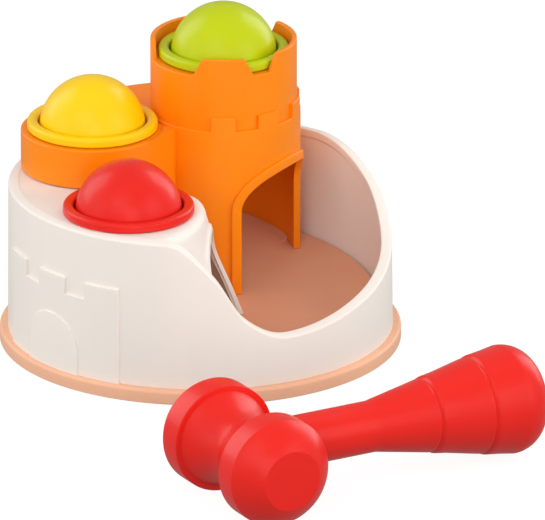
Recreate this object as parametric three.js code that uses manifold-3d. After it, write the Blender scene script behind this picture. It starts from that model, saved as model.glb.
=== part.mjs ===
// A ball pounding toy shaped like a small castle: three balls sit in flexible seats on a
// round drum, and a hammer knocks them through onto a ramp that leads to an open tray.
// Millimetres, +Z up. The origin is the centre of the base's underside, and the tray
// opens towards +X and -Y.
import * as THREE from 'three';
import { mergeVertices } from 'three/addons/utils/BufferGeometryUtils.js';
import Module from 'manifold-3d';

const wasm = await Module();
wasm.setup();

// Running gap kept between neighbouring pieces
const GAP = 0.3;

// Balls and the seats that hold them
const BALL_R = 25;
const SEAT_BORE_R = 29.5;
const SEAT_DEPTH = 5;
const SEAT_LIP_R = 27;
const SEAT_LIP_T = 2;
const SEAT_WALL = 2;
const FLANGE_R = 30.8;
const FLANGE_H = 4.2;
const FLANGE_ROUND = 1.4;
const COLLAR_HOLE_R = 25.7;
const GRIP_FLANGE_T = 1.4;
const GRIP_PETALS = 8;
const GRIP_SLOT_W = 2.4;
const GRIP_DROP = 10;
const GRIP_SKIN = 1.1;

// Base plate
const BASE_STEP = 3.9;
const BASE_LEDGE = 2.8;
const BASE_H = 6.5;
const BASE_FLOOR = 3.6;
const BASE_EDGE = 1.1;

// White drum
const WALL_FOOT_R = 90.5;
const WALL_TAPER = 0.5;
const WALL_T = 5.2;
const RIM_EDGE = 0.8;
const RIM_RISE = 1;
const RIM_UNDERCUT = 0.7;
const RIM_HIGH = 77.2;
const RIM_LOW = 28.7;
const DECK_STEP = 0.3;
const DECK_T = 2.6;

// Where each ball sits, seen from above
const RED_AT = new THREE.Vector2(-33.2, -44.7);
const YELLOW_AT = new THREE.Vector2(-50.6, 18.4);
const TOWER_BEARING = 22.75;
const TOWER_SPACE = 1;

// Pedestal wall between the covered wells and the open tray
const PEDESTAL_R = 36;
const PEDESTAL_T = 2.4;
const PEDESTAL_ROUND = 5;
const PEDESTAL_FOOT_X = 20.4;
const GATE_Y = -41;
const GATE_HALF_W = 27;
const GATE_TOP = 66;
const GATE_LIP_W = 3;
const GATE_LIP_T = 0.9;

// Castle relief on the drum's front, angles in degrees from the front towards +X
const RELIEF_T = 0.9;
const RELIEF_MIDDLE = -49.3;
const RELIEF_MERLON = 11.5;
const RELIEF_NOTCH = 7.6;
const RELIEF_LOW = 45.4;
const RELIEF_HIGH = 53.3;
const DOOR_T = 0.7;
const DOOR_HALF = 10.9;
const DOOR_TOP = 33.9;

// Orange castle: a low turret, a tall tower and the deck that joins them
const TURRET_R = 33.75;
const TURRET_TOP = 97.2;
const CASTLE_WALL = 2.4;
const CASTLE_EDGE = 0.7;
const BRIDGE_STEP = 1.3;
const BRIDGE_FRONT = 55;
const BRIDGE_REACH = 26;
const SKIRT_FROM = 5;
const SKIRT_STEP = 0.2;
const SKIRT_FOOT = 38;
const TOWER_R = 36.2;
const TOWER_WALL = 1.9;
const TOWER_STEP = 98.3;
const KEEP_R = 34.5;
const KEEP_WALL = 2.4;
const KEEP_TOP = 124.6;
const MERLON_TOP = 133.2;
const BAND_MERLON_H = 6.8;
const BAND_PITCH = 36.5;
const ARCH_MIDDLE = 59.5;
const ARCH_HALF = 46.4;
const ARCH_SPRING = 58;
const ARCH_RISE = 18;
const ARCH_LIP_W = 4.6;
const ARCH_LIP_T = 1.5;

// Curved ramp inside the drum
const RAMP_T = 2.4;
const RAMP_FRONT = 12.5;
const RAMP_BACK_RISE = 15.7;
const RAMP_SIDE_RISE = 6.5;
const RAMP_SIDE_FROM = 20;
const RAMP_TOWER_RISE = 6;
const RAMP_TOWER_RUN = 45;

// Self-tapping screws
const SCREW_R = 1.4;
const SCREW_PILOT_R = 1.6;
const SCREW_HOLE_R = 1.9;
const SCREW_HEAD_R = 2.9;
const SCREW_HEAD_H = 1.8;
const SCREW_BITE = 8;
const SCREW_BOSS_R = 3.8;
const SCREW_BOSS_SPACE = 1.5;

// Hammer
const HEAD_R = 25.5;
const HEAD_HALF = 42;
const HEAD_FACE_R = 13;
const HEAD_WAIST_R = 15;
const HEAD_SHOULDER_R = 23.9;
const HEAD_SHOULDER_AT = 14.5;
const HEAD_BAND_W = 8.5;
const NECK_R = 12;
const TENON_R = 9;
const TENON_FROM = 4.5;
const GRIP_START = 66;
const GRIP_STEPS = [{ at: 95, r: 17.5 }, { at: 121, r: 22.8 }];
const GRIP_STEP_DEPTH = 0.8;
const GRIP_STEP_W = 1.6;
const GRIP_END_R = 25.5;
const GRIP_END_ROUND = 15;
const HANDLE_END = 152;
const HAMMER_AT = new THREE.Vector2(21.5, -220.4);
const HAMMER_TURN = 29.5;

// Levels worked out from the sizes above
const HOUSING_FOOT = BASE_H + GAP;
const WALL_RIM_R = WALL_FOOT_R - WALL_TAPER;
const WALL_INNER_R = WALL_RIM_R - WALL_T;
const BRIDGE_R = WALL_INNER_R - BRIDGE_STEP;
const BASE_R = WALL_FOOT_R + BASE_STEP;
const RAMP_R = WALL_INNER_R - GAP;
const RAMP_FRONT_Y = -RAMP_R;
const DECK_TOP = RIM_HIGH + RIM_RISE - DECK_STEP;
const CASTLE_FOOT = DECK_TOP + DECK_STEP + GAP;
const TOWER_INNER_R = TOWER_R - TOWER_WALL;
// The tall tower stands clear of the turret's bore, in this direction from it
const GREEN_AT = new THREE.Vector2(TOWER_R + SEAT_BORE_R + TOWER_SPACE, 0)
  .rotateAround(new THREE.Vector2(), THREE.MathUtils.degToRad(TOWER_BEARING))
  .add(YELLOW_AT);

const ROUND_LARGE = 64;
const ROUND_MIDDLE = 28;
const ROUND_SMALL = 6;

const rad = THREE.MathUtils.degToRad;

// Finishes
const plastic = (color, roughness) =>
  new THREE.MeshStandardMaterial({ color, roughness, metalness: 0 });
const FINISH = {
  white: plastic(0xe9e2da, 0.45),
  peach: plastic(0xf0b48e, 0.5),
  orange: plastic(0xfb7f0d, 0.4),
  red: plastic(0xf23428, 0.35),
  yellow: plastic(0xfbd30c, 0.35),
  green: plastic(0xc3d800, 0.35),
  steel: new THREE.MeshStandardMaterial({ color: 0xb8bcc0, roughness: 0.35, metalness: 1 }),
};

// Solids from three.js geometry

function solid(geometry) {
  const bare = geometry.clone();
  bare.deleteAttribute('normal');
  bare.deleteAttribute('uv');
  const merged = mergeVertices(bare, 1e-4);
  const place = merged.getAttribute('position');
  const point = (i) => new THREE.Vector3().fromBufferAttribute(place, i);
  const triVerts = [];
  let volume = 0;
  for (let i = 0; i < merged.index.count; i += 3) {
    const [a, b, c] = [0, 1, 2].map((k) => merged.index.getX(i + k));
    if (a === b || b === c || c === a) continue;
    triVerts.push(a, b, c);
    volume += point(a).dot(point(b).cross(point(c)));
  }
  if (volume < 0) triVerts.reverse();
  return new wasm.Manifold(new wasm.Mesh({
    numProp: 3,
    vertProperties: new Float32Array(place.array),
    triVerts: new Uint32Array(triVerts),
  }));
}

function geometryOf(body) {
  const { vertProperties, triVerts } = body.getMesh();
  const geometry = new THREE.BufferGeometry();
  geometry.setAttribute('position', new THREE.BufferAttribute(vertProperties, 3));
  geometry.setIndex(new THREE.BufferAttribute(triVerts, 1));
  return geometry;
}

const union = (...bodies) => bodies.reduce((whole, next) => whole.add(next));

// A profile of [radius, height] pairs turned about +Z, then moved to a place on the plan
function turned(profile, sides, at = new THREE.Vector2()) {
  const points = profile.map(([r, z]) => new THREE.Vector2(r, z));
  const geometry = new THREE.LatheGeometry(points, sides);
  return solid(geometry.rotateX(Math.PI / 2).translate(at.x, at.y, 0));
}

// A profile that closes on itself, for rings
const ring = (profile, sides, at) => turned([...profile, profile[0]], sides, at);

function drum(r, low, high, sides, at) {
  return turned([[0, low], [r, low], [r, high], [0, high]], sides, at);
}

// An outline on the plan, raised from one height to another
function prism(outline, low, high) {
  const shape = new THREE.Shape(outline);
  const geometry = new THREE.ExtrudeGeometry(shape, { depth: high - low, bevelEnabled: false });
  return solid(geometry.translate(0, 0, low));
}

// A closed body whose cross-sections are loops of points, each loop joined to the next
function loft(loops, closed) {
  const side = loops[0].length;
  const index = [];
  const last = closed ? loops.length : loops.length - 1;
  for (let i = 0; i < last; i += 1) {
    const next = (i + 1) % loops.length;
    for (let j = 0; j < side; j += 1) {
      const k = (j + 1) % side;
      const [a, b, c, d] = [i * side + j, next * side + j, next * side + k, i * side + k];
      index.push(a, b, c, a, c, d);
    }
  }
  if (!closed) {
    const end = (loops.length - 1) * side;
    for (let j = 1; j < side - 1; j += 1) {
      index.push(0, j, j + 1, end, end + j + 1, end + j);
    }
  }
  const geometry = new THREE.BufferGeometry();
  geometry.setFromPoints(loops.flat());
  geometry.setIndex(index);
  return solid(geometry);
}

// A point on the plan, at an angle in degrees from the front (-Y) towards +X
function polar(at, r, degrees, z) {
  const angle = rad(degrees);
  return new THREE.Vector3(at.x + r * Math.sin(angle), at.y - r * Math.cos(angle), z);
}

// A curved block round a centre, whose top may change with the angle
function arcBlock({ at, inner, outer, low, top, from, to, steps }) {
  const loops = [];
  for (let i = 0; i <= steps; i += 1) {
    const angle = THREE.MathUtils.lerp(from, to, i / steps);
    const high = top(angle);
    loops.push([[inner, low], [outer, low], [outer, high], [inner, high]]
      .map(([r, z]) => polar(at, r, angle, z)));
  }
  return loft(loops, false);
}

const CENTRE = new THREE.Vector2();

// Ramp

// It climbs to the back and to the left, and slopes out through the tower's arch
function rampHeight(x, y) {
  const back = (y - RAMP_FRONT_Y) / (2 * RAMP_R);
  const side = Math.max(0, RAMP_SIDE_FROM - x) / (RAMP_SIDE_FROM + RAMP_R);
  const arch = rad(ARCH_MIDDLE);
  const ahead = (x - GREEN_AT.x) * Math.sin(arch) - (y - GREEN_AT.y) * Math.cos(arch);
  const inTower = TOWER_R * Math.cos(rad(ARCH_HALF)) - ahead;
  return RAMP_FRONT + RAMP_BACK_RISE * back ** 2 + RAMP_SIDE_RISE * side ** 2
    + RAMP_TOWER_RISE * THREE.MathUtils.smoothstep(inTower, 0, RAMP_TOWER_RUN);
}

// The round body between the ramp's surface, lifted by some height, and a lower surface
function underRamp(lift, bottom) {
  const sides = 32;
  const rings = 6;
  const places = [new THREE.Vector2()];
  for (let i = 1; i <= rings; i += 1) {
    for (let j = 0; j < sides; j += 1) {
      const angle = (2 * Math.PI * j) / sides;
      const r = (RAMP_R * i) / rings;
      places.push(new THREE.Vector2(r * Math.cos(angle), r * Math.sin(angle)));
    }
  }
  const tops = places.map((p) => new THREE.Vector3(p.x, p.y, rampHeight(p.x, p.y) + lift));
  const bottoms = places.map((p) => new THREE.Vector3(p.x, p.y, bottom(p.x, p.y)));
  const at = (i, j) => 1 + (i - 1) * sides + (j % sides);
  const index = [];
  const under = places.length;
  const face = (a, b, c) => index.push(a, b, c, under + a, under + c, under + b);
  for (let j = 0; j < sides; j += 1) {
    face(0, at(1, j), at(1, j + 1));
    for (let i = 1; i < rings; i += 1) {
      face(at(i, j), at(i + 1, j), at(i + 1, j + 1));
      face(at(i, j), at(i + 1, j + 1), at(i, j + 1));
    }
    const [a, b] = [at(rings, j), at(rings, j + 1)];
    index.push(a, under + a, under + b, a, under + b, b);
  }
  const geometry = new THREE.BufferGeometry().setFromPoints([...tops, ...bottoms]);
  geometry.setIndex(index);
  return solid(geometry);
}

// What stands on the ramp is cut to its surface
const rampCutter = underRamp(GAP, () => -GAP);

// Screws, each at a place on the plan, with its head's underside at a height

function screwPlaces() {
  const beside = (at, r, degrees) => {
    const p = polar(at, r + SCREW_BOSS_R + SCREW_BOSS_SPACE, degrees, 0);
    return new THREE.Vector2(p.x, p.y);
  };
  const onCircle = (count, r, turn) => Array.from({ length: count }, (_, i) => {
    const p = polar(CENTRE, r, turn + (360 * i) / count, 0);
    return new THREE.Vector2(p.x, p.y);
  });
  return {
    wall: onCircle(6, (WALL_FOOT_R + WALL_INNER_R) / 2, 10),
    ramp: onCircle(3, RAMP_R * 0.62, 40),
    castle: [beside(YELLOW_AT, TURRET_R, 158.8), beside(GREEN_AT, TOWER_R, -123.5)],
  };
}
const SCREWS = screwPlaces();

function screw(at, headLow, length) {
  const neck = headLow + SCREW_HEAD_H;
  const tip = neck + length;
  return turned([
    [0, headLow], [SCREW_HEAD_R * 0.8, headLow], [SCREW_HEAD_R, headLow + SCREW_HEAD_H / 2],
    [SCREW_HEAD_R, neck], [SCREW_R, neck], [SCREW_R, tip - SCREW_R], [0, tip],
  ], ROUND_SMALL, at);
}

const screwHole = (at, low, high, r) => drum(r, low, high, ROUND_SMALL, at);

const SCREW_HEAD_LOW = GAP;
const SCREW_RECESS = SCREW_HEAD_LOW + SCREW_HEAD_H;
const WALL_SCREW_L = HOUSING_FOOT + SCREW_BITE - SCREW_RECESS;
const RAMP_SCREW_L = BASE_FLOOR + GAP + SCREW_BITE - SCREW_RECESS;
const CASTLE_SCREW_HEAD_LOW = DECK_TOP - DECK_T - GAP - SCREW_HEAD_H;
const CASTLE_SCREW_L = DECK_T + GAP + SCREW_BITE;

// Base plate: a flat floor with a raised ring for the drum to stand on

function basePlate() {
  const inner = WALL_INNER_R - BASE_LEDGE;
  let body = turned([
    [0, 0], [BASE_R - BASE_EDGE / 2, 0], [BASE_R, BASE_EDGE / 2], [BASE_R, BASE_H - BASE_EDGE],
    [BASE_R - BASE_EDGE, BASE_H], [inner, BASE_H], [inner, BASE_FLOOR], [0, BASE_FLOOR],
  ], ROUND_LARGE);
  for (const at of [...SCREWS.wall, ...SCREWS.ramp]) {
    body = body.subtract(screwHole(at, -GAP, SCREW_RECESS, SCREW_HEAD_R + GAP));
    body = body.subtract(screwHole(at, -GAP, BASE_H + GAP, SCREW_HOLE_R));
  }
  return body;
}

function rampFloor() {
  let body = underRamp(0, (x, y) => rampHeight(x, y) - RAMP_T);
  const foot = BASE_FLOOR + GAP;
  for (const at of SCREWS.ramp) {
    body = body.add(drum(SCREW_BOSS_R, foot, rampHeight(at.x, at.y) - RAMP_T / 2, ROUND_SMALL, at));
    body = body.subtract(screwHole(at, foot - GAP, foot + SCREW_BITE + GAP, SCREW_PILOT_R));
  }
  return body;
}

// The rim stands high at the back and left, sweeps down to a low lip in front of the tray
// and climbs again on the right: a smooth curve through these shares of its full rise
const RIM_STATIONS = [
  { at: -10, share: 1 }, { at: 4, share: 0.656 }, { at: 14, share: 0.202 }, { at: 28, share: 0 },
  { at: 53, share: 0.093 }, { at: 90, share: 0.367 }, { at: 114, share: 0.748 }, { at: 141, share: 1 },
];

function rimHeight(degrees) {
  const stations = RIM_STATIONS;
  const last = stations.length - 1;
  if (degrees <= stations[0].at || degrees >= stations[last].at) return RIM_HIGH;
  const i = stations.findIndex((s) => s.at >= degrees) - 1;
  const slope = (k) => {
    if (k === 0 || k === last || stations[k].share === 0) return 0;
    const [before, after] = [stations[k - 1], stations[k + 1]];
    return (after.share - before.share) / (after.at - before.at);
  };
  const [a, b] = [stations[i], stations[i + 1]];
  const span = b.at - a.at;
  const t = (degrees - a.at) / span;
  const ease = t * t * (3 - 2 * t);
  const share = a.share + (b.share - a.share) * ease
    + span * (slope(i) * t * (1 - t) ** 2 - slope(i + 1) * t ** 2 * (1 - t));
  return THREE.MathUtils.lerp(RIM_LOW, RIM_HIGH, share);
}

function drumWall() {
  const loops = [];
  for (let i = 0; i < ROUND_LARGE; i += 1) {
    const angle = (360 * i) / ROUND_LARGE - 180;
    const high = rimHeight(angle);
    const crest = high + RIM_RISE;
    const section = [
      [WALL_FOOT_R, HOUSING_FOOT], [WALL_RIM_R, high - RIM_EDGE],
      [WALL_RIM_R - RIM_EDGE * 0.3, high - RIM_EDGE * 0.3], [WALL_RIM_R - RIM_EDGE, high],
      [WALL_INNER_R + RIM_EDGE / 2, crest], [WALL_INNER_R, crest - RIM_EDGE / 2],
      [WALL_INNER_R, crest - DECK_T], [WALL_INNER_R + RIM_UNDERCUT, crest - DECK_T - RIM_UNDERCUT],
      [WALL_INNER_R + RIM_UNDERCUT, HOUSING_FOOT],
    ];
    loops.push(section.map(([r, z]) => polar(CENTRE, r, angle, z)));
  }
  return loft(loops, true);
}

// A point on the castle's front wall between turret and tower: so far along it from the
// turret, and so far out from its face
function bridgeFront(along, out) {
  const leave = polar(YELLOW_AT, TURRET_R + out, BRIDGE_FRONT, 0);
  const p = polar(leave, along, BRIDGE_FRONT + 90, 0);
  return new THREE.Vector2(p.x, p.y);
}

// That wall's skirt, which reaches down past the deck beside the tower
function skirt(grow) {
  const [from, to] = [SKIRT_FROM - grow, BRIDGE_REACH + grow];
  const [face, back] = [grow - SKIRT_STEP, SKIRT_STEP - CASTLE_WALL - grow];
  const outline = [
    bridgeFront(from, face), bridgeFront(to, face), bridgeFront(to, back), bridgeFront(from, back),
  ];
  return prism(outline, SKIRT_FOOT - grow, CASTLE_FOOT + CASTLE_WALL);
}

// The pedestal under the red ball: its wall leans out from a rounded top edge to a straight
// foot along the tray, and runs back to the tower
const onPlan = (x, y) => new THREE.Vector3(x, y, 0);
const PEDESTAL_EDGE = new THREE.CatmullRomCurve3([
  onPlan(RED_AT.x + PEDESTAL_R * 0.45, RED_AT.y - PEDESTAL_R * 1.2),
  onPlan(RED_AT.x + PEDESTAL_R * 0.82, RED_AT.y - PEDESTAL_R * 0.68),
  onPlan(RED_AT.x + PEDESTAL_R, RED_AT.y),
  onPlan(RED_AT.x + PEDESTAL_R * 0.95, RED_AT.y + PEDESTAL_R * 0.55),
  onPlan(RED_AT.x + PEDESTAL_R * 0.7, RED_AT.y + PEDESTAL_R * 0.86),
  onPlan(RED_AT.x + PEDESTAL_R * 0.42, RED_AT.y + PEDESTAL_R * 1.24),
  onPlan(RED_AT.x + PEDESTAL_R * 0.27, RED_AT.y + PEDESTAL_R * 1.55),
]);
const PEDESTAL_TOE = new THREE.CatmullRomCurve3([
  onPlan(PEDESTAL_FOOT_X - WALL_T / 2, -WALL_FOOT_R),
  onPlan(PEDESTAL_FOOT_X, GATE_Y - GATE_HALF_W),
  onPlan(PEDESTAL_FOOT_X, GATE_Y),
  onPlan(PEDESTAL_FOOT_X, GATE_Y + GATE_HALF_W * 1.2),
  onPlan(GREEN_AT.x - TOWER_WALL * 2, GREEN_AT.y - TOWER_R),
  onPlan(GREEN_AT.x - TOWER_R * 0.5, GREEN_AT.y - TOWER_R * 0.6),
]);
const PEDESTAL_STEPS = 16;

function acrossPath(path, t) {
  const along = path.getTangentAt(t);
  return onPlan(along.y, -along.x).normalize();
}

// The wall, or a lip on it that stands proud
function pedestalWall(proud, thickness) {
  const foot = RAMP_FRONT - RAMP_T;
  const top = DECK_TOP - GAP / 3;
  const round = PEDESTAL_ROUND;
  const loops = [];
  for (let i = 0; i <= PEDESTAL_STEPS; i += 1) {
    const t = i / PEDESTAL_STEPS;
    const point = (path, offset, z) => path.getPointAt(t)
      .addScaledVector(acrossPath(path, t), offset)
      .setZ(z);
    const edge = (offset, z) => point(PEDESTAL_EDGE, offset, z);
    loops.push([
      point(PEDESTAL_TOE, proud, foot), edge(proud, top - round),
      edge(proud - round * 0.3, top - round * 0.3), edge(proud - round, top),
      edge(proud - round - thickness, top), edge(proud - round - thickness, top - DECK_T),
      edge(proud - thickness, top - round - DECK_T), point(PEDESTAL_TOE, proud - thickness, foot),
    ]);
  }
  return loft(loops, false);
}

// An arched prism along X, for the gate in the pedestal and for the lip round it
function gatePrism(grow) {
  const half = GATE_HALF_W + grow;
  const spring = GATE_TOP - GATE_HALF_W;
  const shape = new THREE.Shape();
  shape.moveTo(-half, 0);
  shape.lineTo(half, 0);
  shape.lineTo(half, spring);
  shape.absarc(0, spring, half, 0, Math.PI, false);
  shape.closePath();
  const geometry = new THREE.ExtrudeGeometry(shape, {
    depth: WALL_RIM_R,
    bevelEnabled: false,
    curveSegments: 9,
  });
  geometry.rotateX(Math.PI / 2).rotateZ(Math.PI / 2).translate(RED_AT.x, GATE_Y, 0);
  return solid(geometry);
}

// A seat for a ball: a cup below a deck, with a lip that carries the grip
function seatCup(at, top) {
  const outer = SEAT_BORE_R + SEAT_WALL;
  const shelf = top - SEAT_DEPTH;
  const low = shelf - SEAT_LIP_T;
  return ring([
    [outer, low], [outer, top - GAP], [SEAT_BORE_R, top - GAP], [SEAT_BORE_R, shelf],
    [SEAT_LIP_R, shelf], [SEAT_LIP_R, low],
  ], ROUND_MIDDLE, at);
}
const seatBore = (at, top) => drum(SEAT_BORE_R, top - SEAT_DEPTH, top + GAP * 4, ROUND_MIDDLE, at);
const seatThroat = (at, top) => drum(SEAT_LIP_R, top - SEAT_DEPTH * 2, top, ROUND_MIDDLE, at);

// The plan of the covered deck: left of the pedestal's edge, out into the drum's wall
function deckOutline() {
  const reach = WALL_INNER_R + RIM_EDGE;
  const edge = PEDESTAL_EDGE.getSpacedPoints(PEDESTAL_STEPS).map((p, i) => {
    const out = acrossPath(PEDESTAL_EDGE, i / PEDESTAL_STEPS);
    p.addScaledVector(out, -PEDESTAL_ROUND - PEDESTAL_T / 2);
    return new THREE.Vector2(p.x, p.y);
  });
  const inside = edge.filter((p) => p.length() < reach - RIM_EDGE);
  const start = THREE.MathUtils.radToDeg(Math.atan2(inside[0].x, -inside[0].y));
  const finish = THREE.MathUtils.radToDeg(Math.atan2(GREEN_AT.x, -GREEN_AT.y)) - 360;
  const arc = [];
  const steps = 28;
  for (let i = 0; i <= steps; i += 1) {
    const p = polar(CENTRE, reach, THREE.MathUtils.lerp(start, finish, i / steps), 0);
    arc.push(new THREE.Vector2(p.x, p.y));
  }
  return [...inside, new THREE.Vector2(GREEN_AT.x, GREEN_AT.y), ...arc.reverse()];
}

function relief() {
  const pitch = RELIEF_MERLON + RELIEF_NOTCH;
  const half = pitch + RELIEF_MERLON / 2;
  const block = (top, from, to, steps, proud, arch) => arcBlock({
    at: CENTRE, inner: WALL_INNER_R + WALL_T / 2, outer: WALL_FOOT_R + proud, low: HOUSING_FOOT,
    top: arch ?? (() => top), from: RELIEF_MIDDLE + from, to: RELIEF_MIDDLE + to, steps,
  });
  const merlons = [-1, 0, 1].map((i) => block(
    RELIEF_HIGH, i * pitch - RELIEF_MERLON / 2, i * pitch + RELIEF_MERLON / 2, 3, RELIEF_T));
  const doorR = rad(DOOR_HALF) * WALL_FOOT_R;
  const doorTop = (angle) => {
    const across = rad(angle - RELIEF_MIDDLE) * WALL_FOOT_R;
    return DOOR_TOP - doorR + Math.sqrt(Math.max(0, doorR ** 2 - across ** 2));
  };
  const door = block(0, -DOOR_HALF, DOOR_HALF, 14, RELIEF_T + DOOR_T, doorTop);
  return union(block(RELIEF_LOW, -half, half, 15, RELIEF_T), door, ...merlons);
}

function drumHousing() {
  const inside = drum(WALL_INNER_R + RIM_UNDERCUT + RIM_EDGE, 0, MERLON_TOP, ROUND_LARGE);
  const lip = pedestalWall(GATE_LIP_T, GATE_LIP_T + PEDESTAL_T / 2).intersect(gatePrism(GATE_LIP_W));
  const pedestal = union(pedestalWall(0, PEDESTAL_T), lip)
    .subtract(gatePrism(0))
    .intersect(inside)
    .subtract(rampCutter);
  const deck = prism(deckOutline(), DECK_TOP - DECK_T, DECK_TOP);
  let body = union(drumWall(), relief(), pedestal, deck, seatCup(RED_AT, DECK_TOP));
  body = body.subtract(seatBore(RED_AT, DECK_TOP)).subtract(seatThroat(RED_AT, DECK_TOP));
  body = body.subtract(drum(TURRET_R - CASTLE_WALL * 2, 0, RIM_HIGH * 1.2, ROUND_MIDDLE, YELLOW_AT));
  body = body.subtract(drum(TOWER_R + GAP, 0, MERLON_TOP, ROUND_MIDDLE, GREEN_AT));
  body = body.subtract(skirt(GAP));
  for (const at of SCREWS.wall) {
    body = body.subtract(screwHole(at, 0, HOUSING_FOOT + SCREW_BITE + GAP, SCREW_PILOT_R));
  }
  for (const at of SCREWS.castle) {
    body = body.subtract(screwHole(at, DECK_TOP - DECK_T * 2, DECK_TOP + GAP, SCREW_HOLE_R));
  }
  return body;
}

// Orange castle

// The plan behind turret and tower, inside the drum's rim, closed in front by a wall that
// leaves the turret at a tangent and ends in the tower
function bridgeOutline(inset) {
  const r = BRIDGE_R - inset;
  const from = THREE.MathUtils.radToDeg(Math.atan2(YELLOW_AT.x, -YELLOW_AT.y));
  const to = THREE.MathUtils.radToDeg(Math.atan2(GREEN_AT.x, -GREEN_AT.y)) - 360;
  const arc = Array.from({ length: 19 }, (_, i) => {
    const p = polar(CENTRE, r, THREE.MathUtils.lerp(from, to, i / 18), 0);
    return new THREE.Vector2(p.x, p.y);
  });
  return [YELLOW_AT, ...arc, GREEN_AT, bridgeFront(BRIDGE_REACH, -inset), bridgeFront(0, -inset)];
}

function turret() {
  const inner = TURRET_R - CASTLE_WALL;
  const shelf = TURRET_TOP - SEAT_DEPTH;
  return ring([
    [TURRET_R, CASTLE_FOOT], [TURRET_R, TURRET_TOP - CASTLE_EDGE],
    [TURRET_R - CASTLE_EDGE, TURRET_TOP], [SEAT_BORE_R, TURRET_TOP], [SEAT_BORE_R, shelf],
    [SEAT_LIP_R, shelf], [SEAT_LIP_R, shelf - SEAT_LIP_T], [inner, shelf - SEAT_LIP_T],
    [inner, CASTLE_FOOT],
  ], ROUND_MIDDLE, YELLOW_AT);
}

function tower() {
  const shelf = KEEP_TOP - SEAT_DEPTH;
  const keepInner = KEEP_R - KEEP_WALL;
  return ring([
    [TOWER_R, 0], [TOWER_R, TOWER_STEP], [KEEP_R, TOWER_STEP + CASTLE_EDGE / 2],
    [KEEP_R, KEEP_TOP - CASTLE_EDGE], [KEEP_R - CASTLE_EDGE, KEEP_TOP], [SEAT_BORE_R, KEEP_TOP],
    [SEAT_BORE_R, shelf], [SEAT_LIP_R, shelf], [SEAT_LIP_R, shelf - SEAT_LIP_T],
    [keepInner, shelf - SEAT_LIP_T], [keepInner, TOWER_STEP - CASTLE_WALL],
    [TOWER_INNER_R, TOWER_STEP - CASTLE_WALL * 2], [TOWER_INNER_R, 0],
  ], ROUND_MIDDLE, GREEN_AT);
}

function bridge() {
  let body = prism(bridgeOutline(0), CASTLE_FOOT, TURRET_TOP);
  const hollow = prism(bridgeOutline(CASTLE_WALL), CASTLE_FOOT - GAP, TURRET_TOP - CASTLE_WALL);
  body = body.subtract(hollow);
  for (const at of SCREWS.castle) {
    body = body.add(drum(SCREW_BOSS_R, CASTLE_FOOT, TURRET_TOP - GAP, ROUND_SMALL, at));
    body = body.subtract(screwHole(at, CASTLE_FOOT - GAP, CASTLE_FOOT + SCREW_BITE, SCREW_PILOT_R));
  }
  body = body.add(skirt(0));
  body = body.subtract(drum(TURRET_R - CASTLE_WALL / 2, 0, MERLON_TOP, ROUND_MIDDLE, YELLOW_AT));
  return body.subtract(drum(TOWER_R - TOWER_WALL / 2, 0, MERLON_TOP, ROUND_MIDDLE, GREEN_AT));
}

// Trapezoid battlements round the keep: each runs from one angle to another at its foot
const KEEP_MERLONS = [{ from: -25, to: 25 }, { from: 40, to: 138.5 }, { from: 164, to: 284 }];
const MERLON_SLANT = 8;

function keepMerlons() {
  const foot = KEEP_TOP - CASTLE_EDGE * 2;
  return KEEP_MERLONS.map(({ from, to }) => arcBlock({
    at: GREEN_AT, inner: KEEP_R - KEEP_WALL, outer: KEEP_R, low: foot - CASTLE_EDGE, from, to,
    steps: Math.round((to - from) / (MERLON_SLANT / 2)),
    top: (angle) => {
      const climbed = Math.min(1, (angle - from) / MERLON_SLANT, (to - angle) / MERLON_SLANT);
      return THREE.MathUtils.lerp(foot, MERLON_TOP, Math.max(0, climbed));
    },
  }));
}

// The stepped band below the keep, with battlements on the open side
function bandMerlons() {
  return [0, 1, 2, 3].map((i) => arcBlock({
    at: GREEN_AT, inner: KEEP_R - KEEP_WALL / 2, outer: TOWER_R, low: TOWER_STEP - CASTLE_WALL,
    top: () => TOWER_STEP + BAND_MERLON_H, steps: 4,
    from: BAND_PITCH * (i - 0.25), to: BAND_PITCH * (i + 0.25),
  }));
}

// The arch through the tower's wall, or a larger one for the raised border round it
function archBlock(inner, outer, grow) {
  const half = ARCH_HALF + THREE.MathUtils.radToDeg(grow / TOWER_R);
  const rise = ARCH_RISE + grow;
  return arcBlock({
    at: GREEN_AT, inner, outer, low: -GAP, steps: 20,
    from: ARCH_MIDDLE - half, to: ARCH_MIDDLE + half,
    top: (angle) => ARCH_SPRING + rise * Math.sqrt(Math.max(0, 1 - ((angle - ARCH_MIDDLE) / half) ** 2)),
  });
}

function castleTop() {
  const shaft = drum(TOWER_INNER_R, 0, TOWER_STEP - CASTLE_WALL * 2, ROUND_MIDDLE, GREEN_AT);
  const border = archBlock(TOWER_R - TOWER_WALL / 2, TOWER_R + ARCH_LIP_T, ARCH_LIP_W);
  const low = union(turret(), bridge()).subtract(shaft);
  return union(low, tower(), border, ...keepMerlons(), ...bandMerlons())
    .subtract(archBlock(TOWER_INNER_R - TOWER_WALL * 2, TOWER_R + ARCH_LIP_T * 2, 0))
    .subtract(drum(FLANGE_R + GAP, TURRET_TOP, KEEP_TOP, ROUND_MIDDLE, YELLOW_AT))
    .subtract(rampCutter);
}

// Collars, grips and balls

function collar(at, top) {
  const low = top + GAP + DECK_STEP / 2;
  const high = low + FLANGE_H;
  const neck = top - SEAT_DEPTH + 2 * GAP + GRIP_FLANGE_T;
  return ring([
    [SEAT_BORE_R - GAP, neck], [SEAT_BORE_R - GAP, low], [FLANGE_R, low],
    [FLANGE_R - GAP, high - FLANGE_ROUND], [FLANGE_R - FLANGE_ROUND, high],
    [COLLAR_HOLE_R + FLANGE_ROUND, high], [COLLAR_HOLE_R, high - FLANGE_ROUND],
    [COLLAR_HOLE_R, neck],
  ], ROUND_MIDDLE, at);
}

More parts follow.
